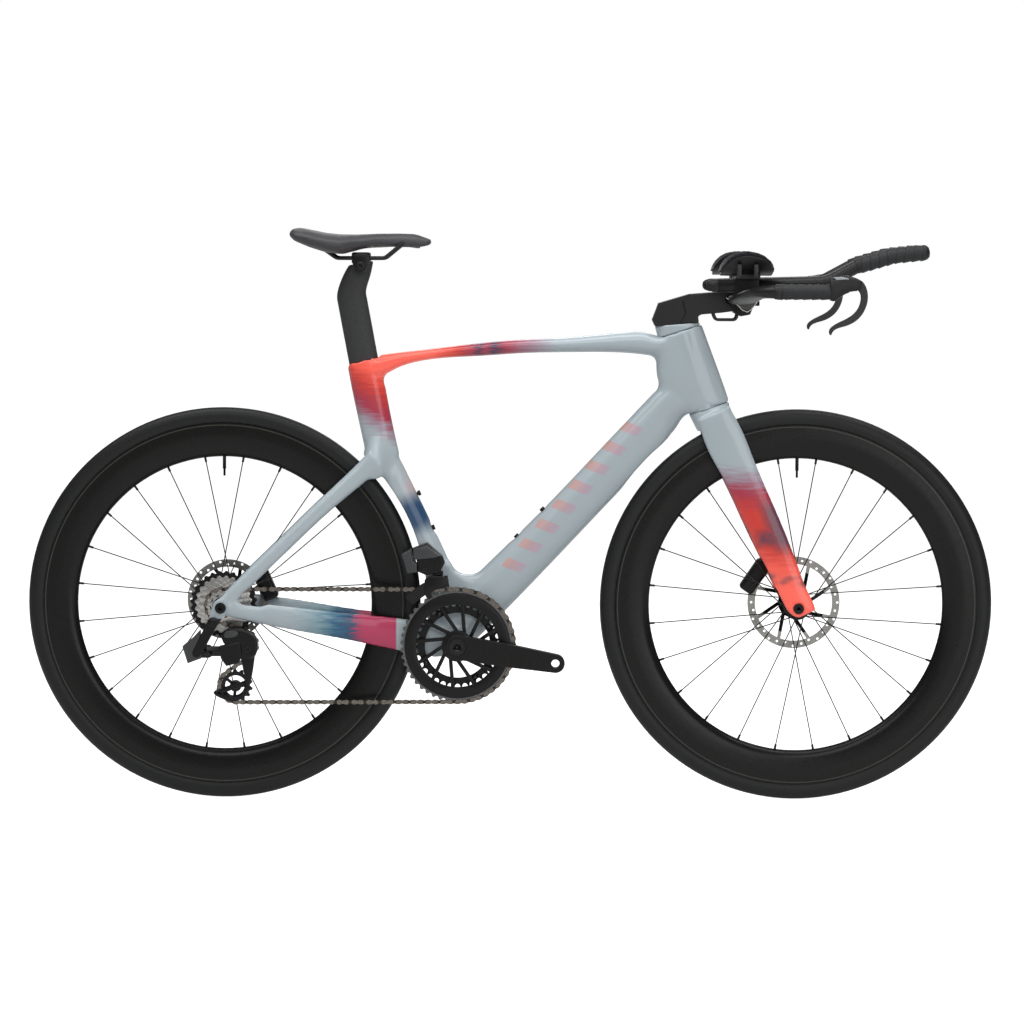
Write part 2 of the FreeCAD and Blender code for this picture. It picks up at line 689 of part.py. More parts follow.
def frame(bolts):
    low, high = down_tube_ends()
    down = tube(low, high, DOWN_TUBE_DEPTH, DOWN_TUBE_WIDTH, DOWN_TUBE_SHARES)
    top = tube(SEAT_TOP, HEAD_TOP, TOP_TUBE_DEPTH, TOP_TUBE_WIDTH, TOP_TUBE_SHARES)
    rings = []
    for along, offset, deep, wide in HEAD_SHARES:
        centre = HEAD_LOW + STEER_UP * (along * HEAD_TUBE_LENGTH) + STEER_FORE * (offset * HEAD_DEPTH)
        rings.append(section(centre, STEER_FORE, Y_DIR, deep * HEAD_DEPTH, wide * HEAD_WIDTH))
    head = loft(rings)
    seat_end = SEAT_TOP - SEAT_UP * SEAT_TUBE_RUN
    seat = tube(SEAT_TOP, seat_end, SEAT_TUBE_DEPTH, SEAT_TUBE_WIDTH, SEAT_TUBE_SHARES)
    lower = tube(seat_end, BB, LOWER_SEAT_DEPTH, LOWER_SEAT_WIDTH, LOWER_SEAT_SHARES)
    lower = lower.cut(wheel_cut(LOWER_SEAT_WIDTH))
    lug_low = stay_join() - SEAT_UP * (STAY_LUG_LENGTH * STAY_LUG_START_SHARE)
    lug = tube(lug_low, lug_low + SEAT_UP * STAY_LUG_LENGTH, STAY_LUG_DEPTH, STAY_LUG_WIDTH, STAY_LUG_SHARES)
    shell = bar_y(BB, BB_SHELL_R, -BB_SHELL_WIDTH / 2, BB_SHELL_WIDTH / 2)
    corner = [BB + V(x * BB_GUSSET_REACH, 0, z * BB_GUSSET_REACH) for x, z in BB_GUSSET_SHARES]
    gusset = prism(corner, BB_GUSSET_WIDTH)
    solids = [down, top, head, seat, lower, lug, shell, gusset]
    for side in (-1, 1):
        solids.append(stay(BB, REAR_AXLE, STAY_DEPTH, STAY_WIDTH, STAY_SPREAD, side, CHAINSTAY_SHARES))
        upper = stay(stay_join(), REAR_AXLE, STAY_DEPTH, STAY_WIDTH, STAY_SPREAD, side, SEATSTAY_SHARES)
        solids.append(upper)
        inner = side * DROPOUT_FACE
        outer = side * (DROPOUT_FACE + DROPOUT_THICKNESS)
        solids.append(bar_y(REAR_AXLE, DROPOUT_R, min(inner, outer), max(inner, outer)))
    body = fuse(solids)
    axle_reach = STAY_SPREAD + OVERRUN + DROPOUT_THICKNESS
    bore = 2 * SLIDE_CLEARANCE
    cuts = [
        wheel_cut(WHEEL_CUT_HALF),
        bar_y(FRONT_AXLE, TYRE_R + FRONT_WHEEL_GAP, -HEAD_WIDTH, HEAD_WIDTH),
        bar_y(REAR_AXLE, DROPOUT_R + OVERRUN, -DROPOUT_FACE, DROPOUT_FACE),
        bar_y(REAR_AXLE, AXLE_R, -axle_reach, axle_reach),
        bar_y(BB, BB_BEARING_R, -BB_SHELL_WIDTH, BB_SHELL_WIDTH),
        loft([post_section(-POST_BORE_DEPTH, bore), post_section(POST_CUT_RISE, bore)]),
        rod(HEAD_LOW - STEER_UP * OVERRUN, HEAD_TOP + STEER_UP * OVERRUN, STEERER_R + SEAM_GAP),
        rod(HEAD_LOW - STEER_UP * OVERRUN, HEAD_LOW + STEER_UP * BEARING_HEIGHT, LOWER_BEARING_R),
        rod(HEAD_LOW, HEAD_LOW + STEER_UP * CROWN_RACE_HEIGHT, CROWN_RACE_R + SEAM_GAP),
        rod(HEAD_TOP - STEER_UP * BEARING_HEIGHT, HEAD_TOP + STEER_UP * OVERRUN, UPPER_BEARING_R),
        rod(HEAD_TOP, HEAD_TOP + STEER_UP * HEAD_BOWL_DEPTH, HEAD_BOWL_R),
        rod(HEAD_LOW - STEER_UP * FORK_CROWN_HEIGHT, HEAD_LOW, FORK_CROWN_R + CROWN_GAP),
        bolts,
    ]
    for tool in cuts:
        body = body.cut(tool)
    return max(body.Solids, key=lambda solid: solid.Volume)


def bearing_ring(low, high, outer, inner):
    return rod(low, high, outer).cut(rod(low - STEER_UP * OVERRUN, high + STEER_UP * OVERRUN, inner))


def headset_bearings():
    rise = STEER_UP * BEARING_HEIGHT
    lower = bearing_ring(HEAD_LOW, HEAD_LOW + rise, LOWER_BEARING_R, CROWN_RACE_R + RUN_CLEARANCE)
    upper = bearing_ring(HEAD_TOP - rise, HEAD_TOP, UPPER_BEARING_R, STEERER_R + RUN_CLEARANCE)
    return Part.makeCompound([lower, upper])


def bottom_bracket():
    half = BB_SHELL_WIDTH / 2
    steps = [(half - BB_CUP_DEPTH, half, BB_BEARING_R), (half, half + BB_CUP_WIDTH, BB_CUP_R)]
    cups = both_sides(turned(steps, SPINDLE_R + RUN_CLEARANCE))
    cups.translate(BB)
    return cups


def thru_axle(centre, low, high, head_low):
    """Axle from one dropout to the other, with a socket head that starts at head_low."""
    head = bar_y(ZERO, AXLE_HEAD_R, head_low, head_low + AXLE_HEAD_LENGTH)
    axle = bar_y(ZERO, AXLE_R, low, high).fuse(head)
    axle = axle.cut(bar_y(ZERO, AXLE_SOCKET_R, head_low - OVERRUN, head_low + AXLE_HEAD_LENGTH + OVERRUN))
    axle.translate(centre)
    return one_solid(axle)


def front_axle():
    half = FRONT_HUB_WIDTH / 2 + FORK_TIP_WIDTH
    return thru_axle(FRONT_AXLE, -half, half, -half - AXLE_HEAD_LENGTH)


def rear_axle():
    """Threaded into the derailleur hanger on the right."""
    half = DROPOUT_FACE + DROPOUT_THICKNESS
    return thru_axle(REAR_AXLE, -half - HANGER_THICKNESS, half, half)


def tyre():
    half = RIM_WIDTH / 2 - RIM_HOOK_WALL
    walls = []
    for inset in (0.0, TYRE_WALL):
        side = [V(half - inset, RIM_EDGE_R, 0)]
        for y, rise in TYRE_SIDE_SHARES:
            side.append(V(y * (TYRE_WIDTH / 2 - inset), RIM_EDGE_R + rise * (TYRE_HEIGHT - inset), 0))
        side += [V(-p.x, p.y, 0) for p in reversed(side[:-1])]
        walls.append(spline(side))
    foot = [V(x, RIM_BED_R, 0) for x in (half, half - TYRE_WALL, TYRE_WALL - half, -half)]
    edge = [V(p.x, RIM_EDGE_R, 0) for p in foot]
    edges = [
        walls[0], line(edge[3], foot[3]), line(foot[3], foot[2]), line(foot[2], edge[2]),
        walls[1], line(edge[1], foot[1]), line(foot[1], foot[0]), line(foot[0], edge[0]),
    ]
    face = Part.Face(Part.Wire(Part.__sortEdges__(edges)))
    return spun(face)


def spun(face):
    """Turns a profile drawn as (sideways, radius) about the wheel's own axis, which lies along Y."""
    solid = face.revolve(ZERO, X_DIR, 360)
    solid.rotate(ZERO, Z_DIR, 90)
    return solid


def rim_profile(half, top, depth):
    side = [V(half, top, 0)]
    for y, deep in RIM_SIDE_SHARES:
        side.append(V(y * half, top - deep * depth, 0))
    return side + [V(-p.x, p.y, 0) for p in reversed(side[:-1])]


def rim(spoke_holes):
    half = RIM_WIDTH / 2
    outer = rim_profile(half, RIM_EDGE_R, RIM_DEPTH)
    lip = half - RIM_HOOK_WALL
    bed = [V(-half, RIM_EDGE_R, 0), V(-lip, RIM_EDGE_R, 0), V(-lip, RIM_BED_R, 0), V(lip, RIM_BED_R, 0)]
    bed += [V(lip, RIM_EDGE_R, 0), V(half, RIM_EDGE_R, 0)]
    skin = Part.Face(Part.Wire([spline(outer), Part.makePolygon(bed)]))
    top = RIM_BED_R - RIM_WALL
    hollow = rim_profile(half - RIM_WALL, top, top - RIM_INNER_R - RIM_WALL)
    core = Part.Face(Part.Wire([spline(hollow), line(hollow[-1], hollow[0])]))
    hoop = spun(skin).cut(spun(core))
    hoop = hoop.cut(rod(Z_DIR * (RIM_INNER_R - OVERRUN), Z_DIR * TYRE_R, VALVE_R))
    return hoop.cut(spoke_holes)


def valve():
    """Valve stem through the rim at the top of the wheel, with a flange in the rim bed and a knurled cap."""
    foot = Z_DIR * (RIM_INNER_R - VALVE_LENGTH / 2)
    stem = rod(foot, Z_DIR * RIM_BED_R, VALVE_R)
    tip = rod(foot - Z_DIR * VALVE_TIP_LENGTH, foot, VALVE_TIP_R)
    return stem.fuse(tip)


def lacing(left, right):
    """Spokes with elbows and nipples for one wheel, and the tools that cut their holes."""
    spokes = []
    nipples = []
    hub_holes = []
    rim_holes = []
    reach = FLANGE_THICKNESS / 2 + SPOKE_R + SPOKE_SIDE_GAP
    for i in range(SPOKE_COUNT):
        angle = math.radians(SPOKE_FIRST_ANGLE + 360 / SPOKE_COUNT * i)
        flange = left if i % 2 == 0 else -right
        lead = 1 if (i // 2) % 2 == 0 else -1
        hub = polar(ZERO, FLANGE_HOLES_R, angle + math.radians(SPOKE_LAY_ANGLE) * lead)
        start = hub + Y_DIR * (flange + lead * reach)
        far = hub + Y_DIR * (flange - lead * reach)
        end = polar(ZERO, RIM_INNER_R, angle)
        heading = (end - start).normalize()
        spoke = rod(start, end, SPOKE_R)
        elbow = rod(start, far, SPOKE_R)
        spokes.append(fuse([spoke, elbow, Part.makeSphere(SPOKE_R, start)]))
        hub_holes.append(elbow)
        nipple = rod(end - heading * (NIPPLE_LENGTH * 0.6), end + heading * (NIPPLE_LENGTH * 0.4), NIPPLE_R)
        rim_holes.append(nipple)
        nipples.append(nipple.cut(rod(start, end, SPOKE_R)))
    return spokes + nipples, Part.makeCompound(hub_holes), Part.makeCompound(rim_holes)


def front_hub(holes):
    half = FRONT_HUB_WIDTH / 2 - FACE_GAP
    rotor = FRONT_HUB_WIDTH / 2 - FRONT_ROTOR_INSET
    return hub_shell(half, FRONT_FLANGE_LEFT, FRONT_FLANGE_RIGHT, rotor, -half, holes)


def rear_hub(holes):
    half = REAR_HUB_WIDTH / 2 - FACE_GAP
    rotor = REAR_HUB_WIDTH / 2 - REAR_ROTOR_INSET
    return hub_shell(half, REAR_FLANGE_LEFT, REAR_FLANGE_RIGHT, rotor, -freehub_start() + FACE_GAP, holes)


def hub_shell(half, left, right, rotor, right_end, holes):
    t = FLANGE_THICKNESS / 2
    steps = []
    if right_end < -right - t - HUB_CAP_LENGTH:
        steps.append((right_end, -right - t, HUB_CAP_R))
    steps.append((-right - t, -right + t, FLANGE_R))
    steps.append((-right + t, left - t, HUB_BARREL_R))
    steps.append((left - t, left + t, FLANGE_R))
    steps.append((left + t, rotor + ROTOR_THICKNESS / 2, ROTOR_SEAT_R))
    steps.append((rotor + ROTOR_THICKNESS / 2, half, HUB_CAP_R))
    return turned(steps, AXLE_R + RUN_CLEARANCE).cut(holes)


def rotor(radius, place):
    """Disc with a drilled braking track, swept arms, a carrier ring and its lockring."""
    low = place - ROTOR_THICKNESS / 2
    high = place + ROTOR_THICKNESS / 2
    track = ring_y(ZERO, radius, radius - ROTOR_TRACK, low, high)
    carrier = ring_y(ZERO, ROTOR_CARRIER_R, ROTOR_SEAT_R, low, high)
    pieces = [track, carrier]
    for i in range(ROTOR_ARM_COUNT):
        angle = 2 * math.pi * i / ROTOR_ARM_COUNT
        inner = polar(ZERO, ROTOR_CARRIER_R - ROTOR_ARM_WIDTH / 2, angle)
        outer = polar(ZERO, radius - ROTOR_TRACK / 2, angle + math.radians(ROTOR_ARM_SWEEP))
        pieces.append(link_plate(inner, ROTOR_ARM_WIDTH / 2, outer, ROTOR_ARM_WIDTH / 2, low, high))
    disc = fuse(pieces)
    holes = []
    for i in range(ROTOR_HOLE_COUNT):
        row = (0.3, 0.5, 0.7)[i % 3]
        spot = polar(ZERO, radius - ROTOR_TRACK * row, 2 * math.pi * i / ROTOR_HOLE_COUNT)
        holes.append(bar_y(spot, ROTOR_HOLE_R, low - OVERRUN, high + OVERRUN))
    disc = disc.cut(Part.makeCompound(holes))
    lockring = ring_y(ZERO, ROTOR_LOCKRING_R, HUB_CAP_R, high, high + ROTOR_LOCKRING_WIDTH)
    return Part.makeCompound([disc, lockring])


def caliper(axle, radius, place, angle, host):
    """Brake caliper astride the rotor's rim, seated on its host, with a pad on each side of the rotor."""
    centre = ZERO + Z_DIR * (radius - CALIPER_OVERLAP + CALIPER_HEIGHT / 2) + Y_DIR * place
    body = block(centre, CALIPER_LENGTH, CALIPER_WIDTH, CALIPER_HEIGHT, CALIPER_ROUND)
    slot = Part.makeBox(CALIPER_LENGTH + 2 * OVERRUN, CALIPER_SLOT, radius + SEAM_GAP + SEAM_GAP)
    slot.translate(V(-CALIPER_LENGTH / 2 - OVERRUN, place - CALIPER_SLOT / 2, 0))
    body = body.cut(slot)
    pads = []
    for side in (-1, 1):
        face = place + side * (CALIPER_SLOT - PAD_THICKNESS) / 2
        pad = Part.makeBox(PAD_LENGTH, PAD_THICKNESS, CALIPER_OVERLAP - SEAM_GAP)
        pad.translate(V(-PAD_LENGTH / 2, face - PAD_THICKNESS / 2, radius - CALIPER_OVERLAP + SEAM_GAP))
        pads.append(pad)
    whole = Part.makeCompound([body] + pads)
    whole.rotate(ZERO, Y_DIR, 90 - angle)
    whole.translate(axle)
    solids = [max(solid.cut(host).Solids, key=lambda s: s.Volume) for solid in whole.Solids]
    return Part.makeCompound(solids)


def pitch_radius(teeth):
    return PITCH / (2 * math.sin(math.pi / teeth))


def sprocket(centre, teeth, phase, bore, low, high):
    """Toothed disc whose gullets hold the chain's rollers, the first one at the phase angle."""
    pitch_r = pitch_radius(teeth)
    gullet = ROLLER_R + ROLLER_CLEARANCE
    tip_r = pitch_r + TOOTH_HEIGHT
    tip = TOOTH_TIP / (2 * tip_r)
    swing = math.radians(GULLET_ANGLE)
    base = V(centre.x, low, centre.z)
    edges = []
    first = None
    last = None
    for i in range(teeth):
        angle = phase + 2 * math.pi * i / teeth
        seat = polar(base, pitch_r, angle)
        start = polar(seat, gullet, angle + math.pi + swing)
        end = polar(seat, gullet, angle + math.pi - swing)
        if last is not None:
            edges.append(line(last, start))
        else:
            first = start
        edges.append(Part.Arc(start, polar(seat, gullet, angle + math.pi), end).toShape())
        near = polar(base, tip_r, angle + math.pi / teeth - tip)
        last = polar(base, tip_r, angle + math.pi / teeth + tip)
        edges.append(line(end, near))
        edges.append(line(near, last))
    edges.append(line(last, first))
    disc = Part.Face(Part.Wire(edges)).extrude(Y_DIR * (high - low))
    return disc.cut(bar_y(centre, bore, low - OVERRUN, high + OVERRUN))


def mech_pivot():
    """Frame-side pivot of the rear derailleur's link, in the chain's plane of view."""
    return REAR_AXLE + V(-MECH_PIVOT_BACK, -MECH_PIVOT_OUT, -MECH_PIVOT_DROP)


def knuckle_pivot():
    return mech_pivot() + X_DIR * MECH_LINK_LENGTH


def cage_pivot():
    return knuckle_pivot() + X_DIR * MECH_REACH


def guide_centre():
    return cage_pivot() + V(-GUIDE_BACK, 0, GUIDE_RISE)


def tension_centre(angle):
    return polar(guide_centre(), CAGE_SPAN, -angle)


def tangent_run(first, first_r, first_turn, second, second_r, second_turn):
    """Straight run between two pitch circles; turn is 1 for clockwise as seen from the drive side."""
    axis = second - first
    length = math.hypot(axis.x, axis.z)
    lie = math.atan2(axis.z, axis.x)
    lean = math.asin((first_turn * first_r - second_turn * second_r) / length)
    normal = lie + math.pi / 2 - lean
    start = polar(first, first_r * first_turn, normal)
    end = polar(second, second_r * second_turn, normal)
    return start, end


def chain_path(angle):
    """The chain's wheels in its running order, then the runs between them."""
    wheels = [
        (BB, pitch_radius(OUTER_TEETH), 1),
        (tension_centre(angle), pitch_radius(TENSION_TEETH), 1),
        (guide_centre(), pitch_radius(GUIDE_TEETH), -1),
        (REAR_AXLE, pitch_radius(COG_TEETH[CHAIN_COG]), 1),
    ]
    runs = []
    for i, wheel in enumerate(wheels):
        runs.append(tangent_run(*wheel, *wheels[(i + 1) % len(wheels)]))
    pieces = []
    for i, (centre, radius, turn) in enumerate(wheels):
        start, end = runs[i]
        pieces.append(("run", start, end, math.hypot(end.x - start.x, end.z - start.z)))
        hub, hub_r, hub_turn = wheels[(i + 1) % len(wheels)]
        leave = runs[(i + 1) % len(wheels)][0]
        a = math.atan2(end.z - hub.z, end.x - hub.x)
        b = math.atan2(leave.z - hub.z, leave.x - hub.x)
        swing = ((a - b) * hub_turn) % (2 * math.pi)
        pieces.append(("arc", hub, (hub_r, a, hub_turn), swing * hub_r))
    return pieces


def on_path(pieces, place):
    for kind, first, second, length in pieces:
        if place <= length:
            if kind == "run":
                return first + (second - first) * (place / length)
            radius, angle, turn = second
            return polar(first, radius, angle - turn * place / radius)
        place -= length
    return on_path(pieces, place)


def walk_chain(angle):
    """Roller centres a pitch apart along the path, and how far the last falls from the first."""
    pieces = chain_path(angle)
    total = sum(piece[3] for piece in pieces)
    place = 0.0
    here = on_path(pieces, place)
    rollers = [here]
    while True:
        low = place + PITCH
        high = place + PITCH * math.pi / 2
        for _ in range(40):
            middle = (low + high) / 2
            spot = on_path(pieces, middle)
            if math.hypot(spot.x - here.x, spot.z - here.z) < PITCH:
                low = middle
            else:
                high = middle
        place = (low + high) / 2
        here = on_path(pieces, place)
        if place > total - PITCH / 2:
            return rollers, place - total
        rollers.append(here)


def fitted_chain():
    """Sets the cage angle at which an even number of links closes, and returns it with the rollers."""
    def count_and_gap(angle):
        rollers, over = walk_chain(angle)
        return len(rollers) + over / PITCH * -1.0
    base = math.radians(CAGE_BACK_ANGLE)
    target = 2 * round(count_and_gap(base) / 2)
    low = base - CAGE_SEARCH
    high = base + CAGE_SEARCH
    rising = count_and_gap(high) > count_and_gap(low)
    for _ in range(50):
        middle = (low + high) / 2
        if (count_and_gap(middle) < target) == rising:
            low = middle
        else:
            high = middle
    angle = (low + high) / 2
    rollers, over = walk_chain(angle)
    return angle, rollers[:target]


def chain_link(outer):
    """One link from the origin to a pitch along X: outer plates with pins, or inner plates with rollers."""
    far = X_DIR * PITCH
    if outer:
        near = ROLLER_HALF + PLATE_THICKNESS + PLATE_GAP
    else:
        near = ROLLER_HALF
    plates = []
    for side in (-1, 1):
        low = min(side * near, side * (near + PLATE_THICKNESS))
        plates.append(link_plate(ZERO, PLATE_R, far, PLATE_R, low, low + PLATE_THICKNESS))
    reach = near + PLATE_THICKNESS
    if outer:
        pins = [bar_y(spot, PIN_R, -reach, reach) for spot in (ZERO, far)]
        return one_solid(fuse(plates + pins))
    barrels = [bar_y(spot, ROLLER_R, -ROLLER_HALF, ROLLER_HALF) for spot in (ZERO, far)]
    bores = [bar_y(spot, PIN_R + PLATE_GAP, -reach - OVERRUN, reach + OVERRUN) for spot in (ZERO, far)]
    return one_solid(fuse(plates + barrels).cut(Part.makeCompound(bores)))


def chain(rollers):
    kinds = [chain_link(False), chain_link(True)]
    links = []
    for i, here in enumerate(rollers):
        there = rollers[(i + 1) % len(rollers)]
        link = kinds[i % 2].copy()
        lie = math.degrees(math.atan2(there.z - here.z, there.x - here.x))
        link.rotate(ZERO, Y_DIR, -lie)
        link.translate(V(here.x, -CHAIN_LINE, here.z))
        links.append(link)
    return Part.makeCompound(links)


def tooth_phase(rollers, centre, teeth):
    """Angle of a gullet that holds one of the rollers seated on this sprocket."""
    pitch_r = pitch_radius(teeth)
    gaps = [abs(math.hypot(r.x - centre.x, r.z - centre.z) - pitch_r) for r in rollers]
    seated = rollers[gaps.index(min(gaps))]
    return math.atan2(seated.z - centre.z, seated.x - centre.x)


def arm_plane():
    """Outer and inner sideways places of the chainring's arms."""
    outside = CHAIN_LINE + RING_THICKNESS / 2 + RING_ARM_THICKNESS
    return -outside, -CHAIN_LINE


def ring_bolt_circle():
    return pitch_radius(INNER_TEETH) - ROLLER_R - INNER_RING_DEPTH / 2


def ring_bolt_spots():
    spots = []
    for i in range(RING_BOLT_COUNT):
        angle = math.radians(RING_BOLT_FIRST_ANGLE + 360 / RING_BOLT_COUNT * i)
        spots.append(polar(BB, ring_bolt_circle(), angle))
    return spots


def chainring_bolts():
    low = arm_plane()[0]
    high = -CHAIN_LINE + RING_GAP + RING_THICKNESS / 2
    bolts = []
    for spot in ring_bolt_spots():
        shank = bar_y(spot, RING_BOLT_R, low, high)
        collar = bar_y(spot, RING_COLLAR_R, arm_plane()[1], high - RING_THICKNESS)
        bolts.append(shank.fuse(collar))
    return Part.makeCompound(bolts)


def chainring_outer(phase, bolts):
    """Toothed ring on narrow arms that meet in a hub round the crank boss."""
    inner = pitch_radius(OUTER_TEETH) - ROLLER_R - OUTER_RING_DEPTH
    low, high = arm_plane()
    half = RING_THICKNESS / 2
    ring = sprocket(BB, OUTER_TEETH, phase, inner, -CHAIN_LINE - half, -CHAIN_LINE + half)
    pieces = [ring, bar_y(BB, RING_HUB_R, low, high)]
    for i in range(RING_ARM_COUNT):
        angle = 2 * math.pi * i / RING_ARM_COUNT
        root = polar(BB, RING_HUB_R - RING_ARM_WIDTH, angle)
        tip = polar(BB, inner + RING_ARM_WIDTH / 2, angle)
        pieces.append(link_plate(root, RING_ARM_WIDTH, tip, RING_ARM_WIDTH / 2, low, high))
    for spot in ring_bolt_spots():
        pieces.append(bar_y(spot, RING_BOSS_R, low, high))
    whole = fuse(pieces).cut(bar_y(BB, SPINDLE_R, low - OVERRUN, high + OVERRUN))
    return one_solid(whole.cut(bolts))


def chainring_inner(phase, bolts):
    inner = pitch_radius(INNER_TEETH) - ROLLER_R - INNER_RING_DEPTH
    place = -CHAIN_LINE + RING_GAP
    half = RING_THICKNESS / 2
    ring = sprocket(BB, INNER_TEETH, phase, inner, place - half, place + half)
    return one_solid(ring.cut(bolts))


def pedal_place(side):
    """Centre of a pedal hole on the arm's outer face; the right arm points forward."""
    drop = math.radians(CRANK_DROP_ANGLE)
    along = V(math.cos(drop), 0, -math.sin(drop)) * (CRANK_LENGTH * -side)
    return BB + along + Y_DIR * (side * CRANK_STANCE / 2)


def crank_arm(side):
    """Arm between the spindle's boss and the pedal thread, broad to its middle."""
    outer = side * CRANK_STANCE / 2
    inner = side * (CRANK_STANCE / 2 - CRANK_THICKNESS)
    low = min(outer, inner)
    high = max(outer, inner)
    pedal = pedal_place(side)
    middle = BB + (pedal - BB) * CRANK_MID_SHARE
    pieces = [
        link_plate(BB, CRANK_BOSS_R, middle, CRANK_MID_R, low, high),
        link_plate(middle, CRANK_MID_R, pedal, CRANK_END_R, low, high),
    ]
    boss = side * (BB_SHELL_WIDTH / 2 + BB_CUP_WIDTH + FACE_GAP) if side > 0 else arm_plane()[0]
    pieces.append(bar_y(BB, CRANK_BOSS_R, min(boss, outer), max(boss, outer)))
    arm = fuse(pieces)
    arm = arm.cut(bar_y(pedal, PEDAL_THREAD_R, low - OVERRUN, high + OVERRUN))
    arm = arm.cut(bar_y(BB, SPINDLE_R, min(boss, outer) - OVERRUN, max(boss, outer) + OVERRUN))
    return one_solid(arm.removeSplitter())


def crank_spindle():
    half = CRANK_STANCE / 2
    spindle = bar_y(BB, SPINDLE_R, -half, half)
    for side in (-1, 1):
        face = side * half
        sink = side * (half - CRANK_BOLT_SOCKET_R)
        spindle = spindle.cut(bar_y(BB, CRANK_BOLT_SOCKET_R, min(face, sink), max(face, sink)))
    return spindle


def cog_place(i):
    return -CHAIN_LINE - COG_SPACING * (CHAIN_COG - i)


def freehub_start():
    """Sideways distance at which the freehub leaves the hub shell."""
    return REAR_FLANGE_RIGHT + FLANGE_THICKNESS / 2 + FACE_GAP


def cassette_cogs(chain_phase):
    cogs = []
    for i, teeth in enumerate(COG_TEETH):
        phase = chain_phase if i == CHAIN_COG else 0.0
        low = cog_place(i) - COG_THICKNESS / 2
        cog = sprocket(REAR_AXLE, teeth, phase, FREEHUB_R, low, low + COG_THICKNESS)
        if i + 1 < len(COG_TEETH):
            spacer = ring_y(REAR_AXLE, COG_HUB_R, FREEHUB_R, low + COG_THICKNESS, low + COG_SPACING)
            cog = one_solid(cog.fuse(spacer))
        cogs.append(cog)
    return Part.makeCompound(cogs)


def freehub_body():
    end = -REAR_HUB_WIDTH / 2 + FACE_GAP
    face = cog_place(0) - COG_THICKNESS / 2
    ring = face - LOCKRING_WIDTH
    steps = [(end, ring, HUB_CAP_R), (ring, face, LOCKRING_R), (face, -freehub_start(), FREEHUB_R)]
    body = turned(steps, AXLE_R + RUN_CLEARANCE)
    body.translate(REAR_AXLE)
    return body


def hanger_place():
    return REAR_AXLE + V(-HANGER_BACK, 0, -HANGER_DROP)


def derailleur_hanger():
    low = -DROPOUT_FACE - DROPOUT_THICKNESS - HANGER_THICKNESS
    plate = link_plate(REAR_AXLE, HANGER_TOP_R, hanger_place(), HANGER_END_R, low, low + HANGER_THICKNESS)
    return plate.cut(bar_y(REAR_AXLE, AXLE_R, low - OVERRUN, low + HANGER_THICKNESS + OVERRUN))


def slanted(shape, place):
    """Carries a shape whose pivot lies along Y at the origin to a pivot of the slanted parallelogram."""
    shape.rotate(ZERO, X_DIR, 90 - MECH_SLANT)
    shape.translate(place)
    return shape


def mech_fork(ahead):
    """Two ears astride the link, the block that joins them, and the pin; ahead is 1 or -1 along X."""
    inner = MECH_LINK_WIDTH / 2 + SLIDE_CLEARANCE
    outer = inner + MECH_EAR
    far = X_DIR * (ahead * MECH_REACH)
    near = MECH_LINK_R + 2 * SEAM_GAP
    pieces = [bar_y(ZERO, MECH_PIN_R, -outer, outer)]
    pieces.append(link_plate(ZERO, MECH_LINK_R, far, MECH_LINK_R, inner, outer))
    pieces.append(link_plate(ZERO, MECH_LINK_R, far, MECH_LINK_R, -outer, -inner))
    box = Part.makeBox(MECH_REACH - near, 2 * outer, 2 * MECH_LINK_R)
    box.translate(V(near if ahead > 0 else -MECH_REACH, -outer, -MECH_LINK_R))
    pieces.append(box)
    return fuse(pieces)


def mech_back():
    return mech_pivot() - X_DIR * MECH_REACH


def rear_mech_base():
    """Knuckle on the hanger bolt that carries the rear pivot of the parallelogram."""
    face = -DROPOUT_FACE - DROPOUT_THICKNESS - HANGER_THICKNESS
    outside = face - MECH_BODY_WIDTH
    fork_part = slanted(mech_fork(-1), mech_pivot())
    knuckle = link_plate(hanger_place(), HANGER_END_R, mech_back(), MECH_LINK_R, outside, face)
    bridge = bar_y(mech_back(), MECH_LINK_R, outside, -MECH_PIVOT_OUT)
    bolt = bar_y(hanger_place(), AXLE_R, outside - BOLT_HEAD_HEIGHT, outside)
    return one_solid(fuse([fork_part, knuckle, bridge, bolt]))


def rear_mech_battery(base):
    """Battery block on the back of the knuckle."""
    outside = -DROPOUT_FACE - DROPOUT_THICKNESS - HANGER_THICKNESS - MECH_BODY_WIDTH
    centre = mech_back() - X_DIR * (BATTERY_LENGTH / 2)
    centre = V(centre.x, outside + BATTERY_WIDTH / 2, centre.z)
    return one_solid(block(centre, BATTERY_LENGTH, BATTERY_WIDTH, BATTERY_HEIGHT, BATTERY_ROUND).cut(base))


def rear_mech_link():
    far = X_DIR * MECH_LINK_LENGTH
    half = MECH_LINK_WIDTH / 2
    plate = link_plate(ZERO, MECH_LINK_R, far, MECH_LINK_R, -half, half)
    for spot in (ZERO, far):
        plate = plate.cut(bar_y(spot, MECH_PIN_R + RUN_CLEARANCE, -half - OVERRUN, half + OVERRUN))
    return slanted(plate, mech_pivot())


def cage_faces():
    """Sideways places of the cage's outer plate: its outer and inner face."""
    inner = -CHAIN_LINE - CAGE_GAP / 2
    return inner - CAGE_PLATE, inner


def rear_mech_knuckle():
    """Front knuckle of the parallelogram, bored for the cage's pivot."""
    fork_part = slanted(mech_fork(1), knuckle_pivot())
    high = cage_faces()[0] - SLIDE_CLEARANCE
    low = -MECH_PIVOT_OUT - MECH_BODY_WIDTH / 2
    barrel = bar_y(cage_pivot(), MECH_KNUCKLE_R, low, high)
    whole = fork_part.fuse(barrel)
    whole = whole.cut(link_room())
    bore = bar_y(cage_pivot(), CAGE_PIVOT_R + RUN_CLEARANCE, low + MECH_EAR, high + OVERRUN)
    return one_solid(whole.cut(bore))


